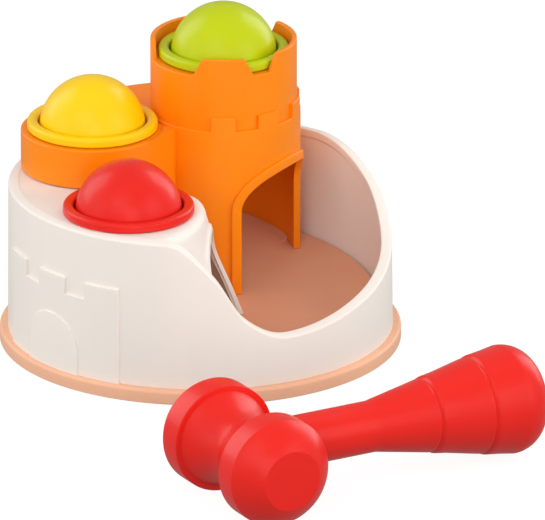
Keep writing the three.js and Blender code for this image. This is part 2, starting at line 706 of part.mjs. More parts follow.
// A soft ring clamped below the collar, with petals that hold the ball under its middle
function grip(at, top) {
  const shelf = top - SEAT_DEPTH + GAP;
  const tip = top - GRIP_DROP;
  const ballAt = (z) => Math.sqrt(BALL_R ** 2 - (top - z) ** 2);
  const root = ballAt(shelf) + GAP * 2;
  const end = ballAt(tip) + GAP;
  let body = ring([
    [SEAT_BORE_R - GAP, shelf], [SEAT_BORE_R - GAP, shelf + GRIP_FLANGE_T],
    [root, shelf + GRIP_FLANGE_T], [root, shelf], [end, tip], [end + GRIP_SKIN, tip],
    [root + GRIP_SKIN, shelf],
  ], GRIP_PETALS * 3, at);
  const slot = new THREE.BoxGeometry(SEAT_LIP_R, GRIP_SLOT_W, GRIP_DROP);
  slot.translate(SEAT_LIP_R / 2, 0, shelf - GRIP_DROP / 2 - GAP);
  for (let i = 0; i < GRIP_PETALS; i += 1) {
    const turn = (2 * Math.PI * i) / GRIP_PETALS;
    body = body.subtract(solid(slot.clone().rotateZ(turn).translate(at.x, at.y, 0)));
  }
  return body;
}

function ball(at, level) {
  const geometry = new THREE.SphereGeometry(BALL_R, 20, 10);
  return solid(geometry.rotateX(Math.PI / 2).translate(at.x, at.y, level));
}

// Hammer, modelled lying along +X with its head's axis along Y, and its axis at Z = 0

function headProfile(grow) {
  const points = [];
  const band = HEAD_SHOULDER_AT + HEAD_BAND_W;
  const add = (r, y) => points.push([r + grow, y]);
  for (let i = 0; i <= 5; i += 1) {
    const t = i / 5;
    add(HEAD_WAIST_R + (HEAD_SHOULDER_R - HEAD_WAIST_R) * t ** 1.7, HEAD_SHOULDER_AT * t);
  }
  add(HEAD_R, HEAD_SHOULDER_AT + HEAD_R - HEAD_SHOULDER_R);
  for (let i = 0; i <= 6; i += 1) {
    const bend = ((Math.PI / 2) * i) / 6;
    add(HEAD_FACE_R + (HEAD_R - HEAD_FACE_R) * Math.cos(bend), band + (HEAD_HALF - band) * Math.sin(bend));
  }
  const other = points.slice(1).reverse().map(([r, y]) => [r, -y]);
  return [[0, -HEAD_HALF - grow], ...other, ...points, [0, HEAD_HALF + grow]];
}

const hammerSides = 20;
const headBody = (grow) => turned(headProfile(grow), hammerSides).rotate([90, 0, 0]);

function alongX(profile) {
  return turned(profile.map(([x, r]) => [r, x]), hammerSides).rotate([0, 90, 0]);
}

function hammerHead() {
  const [depth, r] = [TENON_FROM - GAP, TENON_R + GAP];
  const socket = alongX([[depth, 0], [depth, r], [HEAD_R, r], [HEAD_R, 0]]);
  return headBody(0).subtract(socket);
}

function gripProfile() {
  const curve = new THREE.CatmullRomCurve3([
    new THREE.Vector3(GRIP_START, NECK_R, 0),
    ...GRIP_STEPS.map(({ at, r }) => new THREE.Vector3(at, r, 0)),
    new THREE.Vector3(HANDLE_END - GRIP_END_ROUND, GRIP_END_R, 0),
  ]);
  const profile = [];
  curve.getPoints(12).forEach((p) => {
    const near = GRIP_STEPS.find(({ at }) => Math.abs(p.x - at) < GRIP_STEP_W);
    if (!near) profile.push([p.x, p.y]);
    else {
      profile.push([near.at - GRIP_STEP_W, near.r], [near.at, near.r - GRIP_STEP_DEPTH]);
      profile.push([near.at + GRIP_STEP_W / 2, near.r + GRIP_STEP_DEPTH / 2]);
    }
  });
  return profile;
}

function hammerHandle() {
  const centre = HANDLE_END - GRIP_END_ROUND;
  const cap = [];
  for (let i = 1; i <= 7; i += 1) {
    const bend = ((Math.PI / 2) * i) / 7;
    const flat = GRIP_END_R - GRIP_END_ROUND;
    cap.push([centre + GRIP_END_ROUND * Math.sin(bend), flat + GRIP_END_ROUND * Math.cos(bend)]);
  }
  const body = alongX([
    [TENON_R, 0], [TENON_R, NECK_R], ...gripProfile(), ...cap, [HANDLE_END, 0],
  ]);
  const tenon = alongX([[TENON_FROM, 0], [TENON_FROM, TENON_R], [HEAD_R, TENON_R], [HEAD_R, 0]]);
  return body.subtract(headBody(GAP)).add(tenon);
}

// Assembly

const toy = new THREE.Group();

function addPart(parent, name, body, finish) {
  const mesh = new THREE.Mesh(geometryOf(body), finish);
  mesh.name = name;
  parent.add(mesh);
}

addPart(toy, 'base_plate', basePlate(), FINISH.peach);
addPart(toy, 'ramp_floor', rampFloor(), FINISH.peach);
addPart(toy, 'drum_housing', drumHousing(), FINISH.white);
addPart(toy, 'castle_top', castleTop(), FINISH.orange);

const SEATS = [
  { color: 'red', at: RED_AT, top: DECK_TOP },
  { color: 'yellow', at: YELLOW_AT, top: TURRET_TOP },
  { color: 'green', at: GREEN_AT, top: KEEP_TOP },
];
for (const { color, at, top } of SEATS) {
  addPart(toy, `${color}_collar`, collar(at, top), FINISH[color]);
  addPart(toy, `${color}_grip`, grip(at, top), FINISH[color]);
  addPart(toy, `${color}_ball`, ball(at, top), FINISH[color]);
}

SCREWS.wall.forEach((at, i) => {
  addPart(toy, `wall_screw_${i + 1}`, screw(at, SCREW_HEAD_LOW, WALL_SCREW_L), FINISH.steel);
});
SCREWS.ramp.forEach((at, i) => {
  addPart(toy, `ramp_screw_${i + 1}`, screw(at, SCREW_HEAD_LOW, RAMP_SCREW_L), FINISH.steel);
});
SCREWS.castle.forEach((at, i) => {
  addPart(toy, `castle_screw_${i + 1}`, screw(at, CASTLE_SCREW_HEAD_LOW, CASTLE_SCREW_L), FINISH.steel);
});

const hammer = new THREE.Group();
hammer.position.set(HAMMER_AT.x, HAMMER_AT.y, HEAD_R);
hammer.rotation.z = rad(HAMMER_TURN);
addPart(hammer, 'hammer_head', hammerHead(), FINISH.red);
addPart(hammer, 'hammer_handle', hammerHandle(), FINISH.red);
toy.add(hammer);

export default toy;
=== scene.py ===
"""A castle-shaped ball pounding toy in moulded plastic, with its hammer lying in front."""

import math

import bmesh
import bpy
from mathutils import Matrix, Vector


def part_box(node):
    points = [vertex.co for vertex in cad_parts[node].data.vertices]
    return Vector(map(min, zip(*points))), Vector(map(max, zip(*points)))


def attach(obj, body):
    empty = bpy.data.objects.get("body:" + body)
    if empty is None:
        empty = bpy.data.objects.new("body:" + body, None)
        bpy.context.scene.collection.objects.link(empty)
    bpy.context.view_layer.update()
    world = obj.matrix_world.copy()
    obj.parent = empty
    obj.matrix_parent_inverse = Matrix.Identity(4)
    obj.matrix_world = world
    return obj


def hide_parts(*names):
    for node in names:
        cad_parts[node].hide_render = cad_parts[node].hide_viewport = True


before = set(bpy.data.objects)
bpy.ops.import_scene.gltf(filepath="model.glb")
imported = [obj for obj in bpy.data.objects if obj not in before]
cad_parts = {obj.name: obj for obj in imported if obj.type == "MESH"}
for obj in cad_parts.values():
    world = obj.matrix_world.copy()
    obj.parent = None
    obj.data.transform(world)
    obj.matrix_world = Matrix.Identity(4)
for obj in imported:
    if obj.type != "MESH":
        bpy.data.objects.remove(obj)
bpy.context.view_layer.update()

MM = 0.001
CENTRE = (0.0, 0.0)

# Sizes in millimetres and angles in degrees, as in the solids
GAP = 0.3
BALL_R = 25
SEAT_BORE_R, SEAT_DEPTH, SEAT_LIP_R, SEAT_LIP_T, SEAT_WALL = 29.5, 5, 27, 2, 2
FLANGE_R, FLANGE_H, COLLAR_HOLE_R = 30.8, 4.2, 25.7
GRIP_FLANGE_T, GRIP_PETALS, GRIP_SLOT_W, GRIP_DROP, GRIP_SKIN = 1.4, 8, 2.4, 10, 1.1
BASE_R, BASE_H, BASE_FLOOR, BASE_LEDGE = 94.4, 6.5, 3.6, 2.8
WALL_FOOT_R, WALL_RIM_R, WALL_T = 90.5, 90, 5.2
RIM_RISE, RIM_UNDERCUT, RIM_HIGH, RIM_LOW = 1, 0.7, 77.2, 28.7
RIM_STATIONS = (
    (-10, RIM_HIGH), (4, 60.5), (14, 38.5), (28, RIM_LOW),
    (53, 33.2), (90, 46.5), (114, 65), (141, RIM_HIGH),
)
DECK_STEP, DECK_T = 0.3, 2.6
RED_AT, YELLOW_AT, TOWER_BEARING, TOWER_SPACE = (-33.2, -44.7), (-50.6, 18.4), 22.75, 1
PEDESTAL_R, PEDESTAL_T, PEDESTAL_ROUND, PEDESTAL_FOOT_X = 36, 2.4, 5, 20.4
GATE_Y, GATE_HALF_W, GATE_TOP = -41, 27, 66
GATE_LIP_W, GATE_LIP_T = 3, 0.9
RELIEF_T, RELIEF_MIDDLE, RELIEF_MERLON, RELIEF_NOTCH = 0.9, -49.3, 11.5, 7.6
RELIEF_LOW, RELIEF_HIGH = 45.4, 53.3
DOOR_T, DOOR_HALF, DOOR_TOP = 0.7, 10.9, 33.9
TURRET_R, TURRET_TOP, CASTLE_WALL = 33.75, 97.2, 2.4
BRIDGE_R, BRIDGE_FRONT, BRIDGE_REACH = 83.5, 55, 26
SKIRT_FROM, SKIRT_STEP, SKIRT_FOOT = 5, 0.2, 38
TOWER_R, TOWER_WALL, TOWER_STEP = 36.2, 1.9, 98.3
KEEP_R, KEEP_WALL, KEEP_TOP = 34.5, 2.4, 124.6
KEEP_MERLONS, MERLON_TOP, MERLON_SLANT = ((-25, 25), (40, 138.5), (164, 284)), 133.2, 8
BAND_MERLONS, BAND_MERLON_H, BAND_PITCH = 4, 6.8, 36.5
ARCH_MIDDLE, ARCH_HALF, ARCH_SPRING, ARCH_RISE = 59.5, 46.4, 58, 18
ARCH_LIP_W, ARCH_LIP_T = 4.6, 1.5
RAMP_T, RAMP_FRONT, RAMP_BACK_RISE, RAMP_SIDE_RISE, RAMP_SIDE_FROM = 2.4, 12.5, 15.7, 6.5, 20
RAMP_TOWER_RISE, RAMP_TOWER_RUN = 6, 45
SCREW_R, SCREW_HEAD_R, SCREW_HEAD_H, POST_R = 1.4, 2.9, 1.8, 3.8
HEAD_R, HEAD_WAIST_R, NECK_R = 25.5, 15, 12
GRIP_START, GRIP_END_R, GRIP_END_ROUND, HANDLE_END = 66, 25.5, 15, 152
GRIP_STEPS = ((95, 17.5), (121, 22.8))
HAMMER_AT, HAMMER_TURN = (21.5, -220.4), 29.5

# Sizes of what is finer than in the solids, or was read from the photo after them
RELIEF_EDGE, RIM_UNDERCUT_H = 0.4, 1
FILLET_W, FILLET_END_H, FILLET_H, FILLET_SHORT, FILLET_EASE = 5, 2.7, 1, 13, 36
HEAD_HALF, HEAD_FACE_R, HEAD_SHOULDER_R, HEAD_SHOULDER_AT = 44, 14.2, 22.7, 19.6
HEAD_BAND_END, HEAD_BAND_SLANT, HEAD_WAIST_POWER = 31.8, 0.2, 1.7
GROOVE_DEPTH, GROOVE_W, GROOVE_STEP, GROOVE_STEP_W, GROOVE_FADE = 0.75, 0.75, 0.35, 1.2, 9
SEAM_DEPTH, SEAM_W = 0.12, 0.25
SLOT_HALF_L, SLOT_HALF_W, SLOT_DEPTH = 1.6, 0.35, 1.1

# Roundings of edges
BASE_FOOT_ROUND, BASE_TOP_ROUND, LEDGE_ROUND = 0.6, 1.6, 0.4
WALL_FOOT_ROUND, RIM_OUTER_ROUND, RIM_INNER_ROUND, RIM_UNDER_ROUND = 0.15, 1.3, 0.7, 0.3
LIP_ROUND, GATE_LIP_ROUND = 0.7, 0.4
TURRET_FOOT_ROUND, TURRET_TOP_ROUND, SEAT_ROUND = 0.3, 0.9, 0.3
KEEP_ROUND, MERLON_ROUND, TOWER_FOOT_ROUND, TOWER_TOP_ROUND = 0.7, 0.8, 0.5, 0.6
NECK_ROUND, FLANGE_LOW_ROUND, FLANGE_ROUND, FLANGE_DRAFT = 0.3, 0.6, 1.8, 0.2
GRIP_LOW_ROUND, GRIP_ROUND = 0.2, 0.3
BAND_ROUND, DOME_ROUND = 0.7, 1.2
SCREW_HEAD_ROUND, SCREW_NECK_ROUND = 1.1, 0.2

# How the shapes of one piece lap, and how far cutters reach past what they cut
POST_SINK, FILLET_SINK, LIP_ROOT, LIP_LAP = 1, 1.5, 1.2, 0.05
DECK_LAP, DECK_EDGE_LAP, DECK_END_SPACE, CUP_DROP = 0.6, 0.4, 0.8, 0.5
KEEP_LAP, KEEP_SINK, BAND_LAP, BRIDGE_LAP = 0.6, 4, 1, 0.9
PETAL_LAP, HANDLE_FROM = 0.4, 9
CUT_PAST = 9


# Shapes are (vertices, faces) pairs in millimetres

SQUARE = ((-1, -1), (1, -1), (1, 1), (-1, 1))
# The sharpest corner that is rounded, in radians, and the most of a side that one rounding takes
SHARPEST_CORNER, LONGEST_ROUND = 0.02, 0.48
# The angles in degrees from which edges are shaded sharp
SHARP_FROM, BALL_SHARP_FROM, HAMMER_SHARP_FROM = 32, 60, 40
# A radius this small is a point on the axis
ON_AXIS = 1e-6
# How finely a curve is cut between two of its points
CURVE_STEPS = 40


def lerp(a, b, t):
    return a + (b - a) * t


def smooth(t):
    t = min(1.0, max(0.0, t))
    return t * t * (3 - 2 * t)


def plan(at, r, degrees):
    """A place on the plan, at an angle from the front (-Y) towards +X."""
    angle = math.radians(degrees)
    return at[0] + r * math.sin(angle), at[1] - r * math.cos(angle)


def polar(at, r, degrees, z):
    return (*plan(at, r, degrees), z)


def bearing(place):
    """The angle at which a place lies from the centre, measured as in plan."""
    return math.degrees(math.atan2(place[0], -place[1]))


def quarter_turn(steps, first=0):
    """Angles in radians from 0 to a right angle, or from a later step."""
    return [math.pi / 2 * k / steps for k in range(first, steps + 1)]


def rounded(corners, steps=5, closed=True):
    """An outline from (u, v, fillet radius) corners."""
    outline = []
    count = len(corners)
    for i, (u, v, radius) in enumerate(corners):
        corner = Vector((u, v))
        if not radius or (not closed and i in (0, count - 1)):
            outline.append(corner)
            continue
        before = Vector(corners[i - 1][:2]) - corner
        after = Vector(corners[(i + 1) % count][:2]) - corner
        reach = radius / math.tan(max(before.angle(after), SHARPEST_CORNER) / 2)
        reach = min(reach, before.length * LONGEST_ROUND, after.length * LONGEST_ROUND)
        start = corner + before.normalized() * reach
        end = corner + after.normalized() * reach
        for k in range(steps + 1):
            t = k / steps
            outline.append(start * (1 - t) ** 2 + corner * (2 * t * (1 - t)) + end * t**2)
    return outline


def catmull(points, count):
    """Evenly spaced points on a smooth curve through a few."""
    ends = [points[0] * 2 - points[1], *points, points[-1] * 2 - points[-2]]
    dense = []
    for i in range(1, len(ends) - 2):
        a, b, c, d = ends[i - 1 : i + 3]
        for k in range(CURVE_STEPS):
            t = k / CURVE_STEPS
            dense.append((b * 2 + (c - a) * t + (a * 2 - b * 5 + c * 4 - d) * t**2
                          + (b * 3 - a - c * 3 + d) * t**3) / 2)
    dense.append(points[-1])
    lengths = [0.0]
    for a, b in zip(dense, dense[1:]):
        lengths.append(lengths[-1] + (b - a).length)
    found = []
    j = 0
    for i in range(count + 1):
        target = lengths[-1] * i / count
        while j < len(dense) - 2 and lengths[j + 1] < target:
            j += 1
        t = (target - lengths[j]) / (lengths[j + 1] - lengths[j])
        found.append(dense[j].lerp(dense[j + 1], t))
    return found


def lathe(profile, at=CENTRE, sides=160, closed=False):
    """A profile of (radius, height) turned about a vertical axis."""
    verts, faces, rows = [], [], []
    for r, z in profile:
        if r < ON_AXIS:
            rows.append([len(verts)] * sides)
            verts.append((*at, z))
        else:
            rows.append(range(len(verts), len(verts) + sides))
            verts.extend(polar(at, r, 360 * k / sides, z) for k in range(sides))
    upper = rows[1:] + rows[:1] if closed else rows[1:]
    for low, high in zip(rows, upper):
        for k in range(sides):
            j = (k + 1) % sides
            face = list(dict.fromkeys((low[k], low[j], high[j], high[k])))
            if len(face) > 2:
                faces.append(face)
    return verts, faces


def loft(loops, closed=False):
    """A skin over loops of equally many points, joined in a ring or capped."""
    side = len(loops[0])
    verts = [tuple(p) for loop in loops for p in loop]
    faces = []
    for i in range(len(loops) if closed else len(loops) - 1):
        j = (i + 1) % len(loops)
        for a in range(side):
            b = (a + 1) % side
            faces.append((i * side + a, j * side + a, j * side + b, i * side + b))
    if not closed:
        faces.append(tuple(range(side)))
        faces.append(tuple(range((len(loops) - 1) * side, len(loops) * side)))
    return verts, faces


def prism(outline, low, high):
    """An outline on the plan, raised from one height to another."""
    return loft([[(x, y, low) for x, y in outline], [(x, y, high) for x, y in outline]])


def drill(at, r, low, high, sides=120):
    """A round cutter that reaches past both heights."""
    low, high = low - CUT_PAST, high + CUT_PAST
    return lathe([(0, low), (r, low), (r, high), (0, high)], at, sides)


def mesh_of(name, shapes):
    """One mesh from several shapes, in metres, with its faces turned outwards."""
    data = bpy.data.meshes.new(name)
    work = bmesh.new()
    for verts, faces in shapes:
        made = [work.verts.new([c * MM for c in v]) for v in verts]
        for face in faces:
            work.faces.new([made[i] for i in face])
    bmesh.ops.recalc_face_normals(work, faces=work.faces)
    work.to_mesh(data)
    work.free()
    return data


def piece(name, shapes, material, body, nodes, sharp_from=SHARP_FROM):
    """A visible piece that rides on a body and stands for CAD nodes."""
    data = mesh_of(name, shapes)
    data.shade_smooth()
    data.set_sharp_from_angle(angle=math.radians(sharp_from))
    data.materials.append(material)
    made = bpy.data.objects.new(name, data)
    bpy.context.scene.collection.objects.link(made)
    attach(made, body)
    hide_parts(*nodes)


def carved(shape, *cutters):
    """A shape with others cut out of it."""
    scene = bpy.context.scene
    body = bpy.data.objects.new("carved", mesh_of("carved", [shape]))
    scene.collection.objects.link(body)
    tools = []
    for cutter in cutters:
        tool = bpy.data.objects.new("tool", mesh_of("tool", [cutter]))
        scene.collection.objects.link(tool)
        tools.append(tool)
        cut = body.modifiers.new("cut", "BOOLEAN")
        cut.operation = "DIFFERENCE"
        cut.solver = "EXACT"
        cut.object = tool
    result = body.evaluated_get(bpy.context.evaluated_depsgraph_get()).to_mesh()
    verts = [tuple(v.co / MM) for v in result.vertices]
    faces = [tuple(p.vertices) for p in result.polygons]
    for spare in (body, *tools):
        bpy.data.objects.remove(spare)
    return verts, faces


# Places and levels worked out from the sizes
GREEN_AT = plan(YELLOW_AT, SEAT_BORE_R + TOWER_R + TOWER_SPACE, 90 + TOWER_BEARING)
WALL_SEAT = BASE_H + GAP / 6
WALL_INNER_R = WALL_RIM_R - WALL_T
WALL_MIDDLE_R = WALL_INNER_R + WALL_T / 2
RAMP_R = WALL_INNER_R - GAP
DECK_TOP = RIM_HIGH + RIM_RISE - DECK_STEP
CASTLE_FOOT = DECK_TOP + DECK_STEP + GAP
TOWER_INNER_R = TOWER_R - TOWER_WALL
PEDESTAL_FOOT = RAMP_FRONT - RAMP_T
PEDESTAL_TOP = DECK_TOP - GAP / 3
LEAN_TOP = PEDESTAL_TOP - PEDESTAL_ROUND
GATE_SPRING = GATE_TOP - GATE_HALF_W


# Materials

# Noise scales are per metre
TONE_SCALE, GLOSS_SCALE, GRAIN_SCALE = 24, 140, 1500
TONE_FROM, TONE_TO = 0.3, 0.7
GLOSS_BELOW, GLOSS_ABOVE = 0.05, 0.07
GRAIN_DEPTH = 0.0002
COAT_ROUGH, PLASTIC_IOR, PLASTIC_SPECULAR = 0.12, 1.48, 0.35


def linear(channel):
    """A colour channel from 0 to 255 as linear light."""
    c = channel / 255
    return c / 12.92 if c <= 0.04045 else ((c + 0.055) / 1.055) ** 2.4


def plastic(name, rgb, rough, grain, coat=0.0, tone=0.05):
    """Moulded plastic: faint tone drift, fine spark-eroded grain and uneven gloss."""
    material = bpy.data.materials.new(name)
    material.use_nodes = True
    nodes, links = material.node_tree.nodes, material.node_tree.links
    shader = nodes["Principled BSDF"]
    place = nodes.new("ShaderNodeTexCoord").outputs["Object"]

    def noise(scale, detail):
        made = nodes.new("ShaderNodeTexNoise")
        made.inputs["Scale"].default_value = scale
        made.inputs["Detail"].default_value = detail
        links.new(place, made.inputs["Vector"])
        return made.outputs["Fac"]

    colour = [linear(c) for c in rgb]
    ramp = nodes.new("ShaderNodeValToRGB")
    dark, light = ramp.color_ramp.elements
    dark.position, light.position = TONE_FROM, TONE_TO
    dark.color = [c * (1 - tone) for c in colour] + [1]
    light.color = [min(1, c * (1 + tone)) for c in colour] + [1]
    links.new(noise(TONE_SCALE, 4), ramp.inputs["Fac"])
    links.new(ramp.outputs["Color"], shader.inputs["Base Color"])

    gloss = nodes.new("ShaderNodeMapRange")
    gloss.inputs["To Min"].default_value = rough - GLOSS_BELOW
    gloss.inputs["To Max"].default_value = rough + GLOSS_ABOVE
    links.new(noise(GLOSS_SCALE, 3), gloss.inputs["Value"])
    links.new(gloss.outputs["Result"], shader.inputs["Roughness"])

    bump = nodes.new("ShaderNodeBump")
    bump.inputs["Strength"].default_value = grain
    bump.inputs["Distance"].default_value = GRAIN_DEPTH
    links.new(noise(GRAIN_SCALE, 2), bump.inputs["Height"])
    links.new(bump.outputs["Normal"], shader.inputs["Normal"])

    shader.inputs["Coat Weight"].default_value = coat
    shader.inputs["Coat Roughness"].default_value = COAT_ROUGH
    shader.inputs["IOR"].default_value = PLASTIC_IOR
    shader.inputs["Specular IOR Level"].default_value = PLASTIC_SPECULAR
    return material


def steel(name):
    """Zinc-plated steel, with the same fine grain and uneven gloss."""
    material = plastic(name, (190, 193, 196), 0.3, 0.2)
    material.node_tree.nodes["Principled BSDF"].inputs["Metallic"].default_value = 1.0
    return material


WHITE = plastic("white_plastic", (238, 230, 221), 0.46, 0.16, tone=0.015)
PEACH = plastic("peach_plastic", (238, 182, 148), 0.48, 0.16, tone=0.03)
# The tray is the base's peach plastic, painted darker as shade for where it sits sunk inside the drum
TRAY_PEACH_PAINTED_SHADE = plastic("tray_peach_painted_shade", (228, 163, 129), 0.48, 0.16, tone=0.03)
ORANGE = plastic("orange_plastic", (250, 137, 6), 0.36, 0.1, coat=0.05, tone=0.03)
RED = plastic("red_plastic", (226, 31, 21), 0.36, 0.06, coat=0.1, tone=0.03)
YELLOW = plastic("yellow_plastic", (248, 203, 4), 0.34, 0.06, coat=0.1, tone=0.03)
GREEN = plastic("green_plastic", (188, 201, 3), 0.34, 0.06, coat=0.1, tone=0.03)
RED_SOFT = plastic("red_soft", (222, 42, 34), 0.6, 0.3)
YELLOW_SOFT = plastic("yellow_soft", (238, 198, 10), 0.6, 0.3)
GREEN_SOFT = plastic("green_soft", (176, 198, 10), 0.6, 0.3)
STEEL = steel("screw_steel")


# Base and ramp

SCREWS = [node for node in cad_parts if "screw" in node]
WALL_SCREWS = [node for node in SCREWS if "wall" in node]
RAMP_SCREWS = [node for node in SCREWS if "ramp" in node]
RAMP_SIDES, RAMP_RINGS, RAMP_FIRST_RING = 120, 20, 0.01
FILLET_STEPS = 120


def screw_place(node):
    """A screw's place on the plan, from its part's box."""
    low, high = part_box(node)
    return (low.x + high.x) / 2 / MM, (low.y + high.y) / 2 / MM


def screw_recess(node):
    """The hollow in the underside for a screw's head."""
    r, high = SCREW_HEAD_R + GAP, GAP + SCREW_HEAD_H
    return lathe([(0, -CUT_PAST), (r, -CUT_PAST), (r, high), (0, high)], screw_place(node), 32)


def base_plate():
    """A round plate with a lower floor inside its ledge and a recess below for each screw."""
    inner = WALL_INNER_R - BASE_LEDGE
    plate = lathe(rounded([
        (0, 0, 0), (BASE_R, 0, BASE_FOOT_ROUND), (BASE_R, BASE_H, BASE_TOP_ROUND),
        (inner, BASE_H, LEDGE_ROUND), (inner, BASE_FLOOR, LEDGE_ROUND), (0, BASE_FLOOR, 0),
    ], closed=False), sides=240)
    return carved(plate, *(screw_recess(node) for node in WALL_SCREWS + RAMP_SCREWS))


def ramp_height(x, y):
    """The floor's height: it rises to the back, to the left and inside the tower."""
    back = (y + RAMP_R) / (2 * RAMP_R)
    side = max(0, RAMP_SIDE_FROM - x) / (RAMP_SIDE_FROM + RAMP_R)
    arch = math.radians(ARCH_MIDDLE)
    ahead = (x - GREEN_AT[0]) * math.sin(arch) - (y - GREEN_AT[1]) * math.cos(arch)
    in_tower = TOWER_R * math.cos(math.radians(ARCH_HALF)) - ahead
    rise = RAMP_BACK_RISE * back**2 + RAMP_SIDE_RISE * side**2
    return RAMP_FRONT + rise + RAMP_TOWER_RISE * smooth(in_tower / RAMP_TOWER_RUN)


def ramp_sheet():
    shares = [RAMP_FIRST_RING] + [(i + 1) / RAMP_RINGS for i in range(RAMP_RINGS)]
    loops = []
    for k in range(RAMP_SIDES):
        line = [plan(CENTRE, RAMP_R * share, 360 * k / RAMP_SIDES) for share in shares]
        top = [(x, y, ramp_height(x, y)) for x, y in line]
        loops.append(top + [(x, y, z - RAMP_T) for x, y, z in reversed(top)])
    return loft(loops, True)


def tower_fillet():
    """The floor's curve up to the tower's inner wall, higher at the ends, which stop before the arch."""
    start = ARCH_MIDDLE + ARCH_HALF + FILLET_SHORT
    end = ARCH_MIDDLE - ARCH_HALF - FILLET_SHORT + 360
    outer = TOWER_INNER_R - GAP
    loops = []
    for i in range(FILLET_STEPS + 1):
        angle = lerp(start, end, i / FILLET_STEPS)
        high = lerp(FILLET_END_H, FILLET_H, smooth(min(angle - start, end - angle) / FILLET_EASE))
        section = [(outer, -FILLET_SINK), (outer - FILLET_W, -FILLET_SINK)]
        for bend in quarter_turn(8):
            section.append((outer - FILLET_W * (1 - math.sin(bend)), high * (1 - math.cos(bend))))
        loop = []
        for r, rise in section:
            x, y = plan(GREEN_AT, r, angle)
            loop.append((x, y, ramp_height(x, y) + rise))
        loops.append(loop)
    return loft(loops)


def ramp_post(node):
    """A post between base and floor, where a screw comes up."""
    at = screw_place(node)
    low, high = BASE_FLOOR + GAP, ramp_height(*at) - POST_SINK
    return lathe([(0, low), (POST_R, low), (POST_R, high), (0, high)], at, 24)


piece("base", [base_plate()], PEACH, "toy", ["base_plate"])
# The ramp takes the peach with painted shade
piece("ramp", [ramp_sheet(), tower_fillet(), *(ramp_post(node) for node in RAMP_SCREWS)],
      TRAY_PEACH_PAINTED_SHADE, "toy", ["ramp_floor"])


# White drum

PATH_STEPS, PEDESTAL_STEPS, DECK_STEPS = 160, 120, 80
ARC_STEPS, ARCH_TURN_STEP, HALVINGS = 120, 4, 30
MERLON_STEPS, NOTCH_STEPS, DOOR_STEPS = 24, 16, 73
THIRDS, QUARTERS = (0, 0.33, 0.66), (0, 0.25, 0.5, 0.75, 1)


def rim_height(degrees):
    """The rim's height, on a smooth curve through its stations."""
    stations = RIM_STATIONS
    last = len(stations) - 1
    if not stations[0][0] < degrees < stations[last][0]:
        return RIM_HIGH
    i = max(k for k in range(last) if stations[k][0] <= degrees)

    def slope(k):
        if k in (0, last) or stations[k][1] == RIM_LOW:
            return 0
        return (stations[k + 1][1] - stations[k - 1][1]) / (stations[k + 1][0] - stations[k - 1][0])

    (a, low), (b, high) = stations[i], stations[i + 1]
    t = (degrees - a) / (b - a)
    bend = slope(i) * t * (1 - t) ** 2 - slope(i + 1) * t**2 * (1 - t)
    return low + (high - low) * smooth(t) + (b - a) * bend


def drum_wall():
    """The round wall under the swept rim, thicker in its top few millimetres."""
    thin_r = WALL_INNER_R + RIM_UNDERCUT
    loops = []
    for angle in range(-180, 180):
        high = rim_height(angle)
        under = high - DECK_T
        section = rounded([
            (WALL_FOOT_R, WALL_SEAT, WALL_FOOT_ROUND), (WALL_RIM_R, high, RIM_OUTER_ROUND),
            (WALL_INNER_R, high + RIM_RISE, RIM_INNER_ROUND), (WALL_INNER_R, under, RIM_UNDER_ROUND),
            (thin_r, under - RIM_UNDERCUT_H, 0), (thin_r, WALL_SEAT, 0),
        ], 4)
        loops.append([polar(CENTRE, r, angle, z) for r, z in section])
    return loft(loops, True)


def bridge_front(along, out):
    """A place on the castle's front wall, along it from the turret and out from its face."""
    leave = plan(YELLOW_AT, TURRET_R + out, BRIDGE_FRONT)
    return plan(leave, along, BRIDGE_FRONT + 90)


def skirt(grow):
    """The skirt of that wall, which reaches down past the deck beside the tower."""
    start, end = SKIRT_FROM - grow, BRIDGE_REACH + grow
    face, back = grow - SKIRT_STEP, SKIRT_STEP - CASTLE_WALL - grow
    outline = [bridge_front(start, face), bridge_front(end, face),
               bridge_front(end, back), bridge_front(start, back)]
    return prism(outline, SKIRT_FOOT - grow, CASTLE_FOOT + CASTLE_WALL)


# The leaning wall between the covered wells and the tray, on the plan: its upper edge, in shares of
# a radius about the red seat, and its foot
EDGE_SHARES = (
    (0.45, -1.2), (0.82, -0.68), (1, 0), (0.95, 0.55), (0.7, 0.86), (0.42, 1.24), (0.27, 1.55),
)
EDGE = catmull([
    Vector((RED_AT[0] + PEDESTAL_R * u, RED_AT[1] + PEDESTAL_R * v)) for u, v in EDGE_SHARES
], PATH_STEPS)
TOE = catmull([
    Vector((PEDESTAL_FOOT_X - WALL_T / 2, -WALL_FOOT_R)),
    Vector((PEDESTAL_FOOT_X, GATE_Y - GATE_HALF_W)),
    Vector((PEDESTAL_FOOT_X, GATE_Y)),
    Vector((PEDESTAL_FOOT_X, GATE_Y + GATE_HALF_W * 1.2)),
    Vector((GREEN_AT[0] - TOWER_WALL * 2, GREEN_AT[1] - TOWER_R)),
    Vector((GREEN_AT[0] - TOWER_R * 0.5, GREEN_AT[1] - TOWER_R * 0.6)),
], PATH_STEPS)


def path_frame(path, t):
    """A place on a path and the direction out of the wall there."""
    f = min(max(t, 0), 1) * PATH_STEPS
    i = min(int(f), PATH_STEPS - 1)
    along = path[min(i + 2, PATH_STEPS)] - path[max(i - 1, 0)]
    out = Vector((along.y, -along.x)).normalized()
    return path[i].lerp(path[i + 1], f - i), out


def on_pedestal(t, z, offset):
    """A point at a height on the leaning wall, moved out from it by an offset."""
    (edge, edge_out), (toe, toe_out) = path_frame(EDGE, t), path_frame(TOE, t)
    share = max(0.0, (LEAN_TOP - z) / (LEAN_TOP - PEDESTAL_FOOT))
    p = edge.lerp(toe, share) + edge_out.lerp(toe_out, share) * offset
    return (p.x, p.y, z)


def along_gate(y, z):
    """The place along the wall where it has this y at this height, found by halving."""
    low, high = 0.0, 1.0
    for _ in range(HALVINGS):
        middle = (low + high) / 2
        if on_pedestal(middle, z, 0)[1] < y:
            low = middle
        else:
            high = middle
    return (low + high) / 2


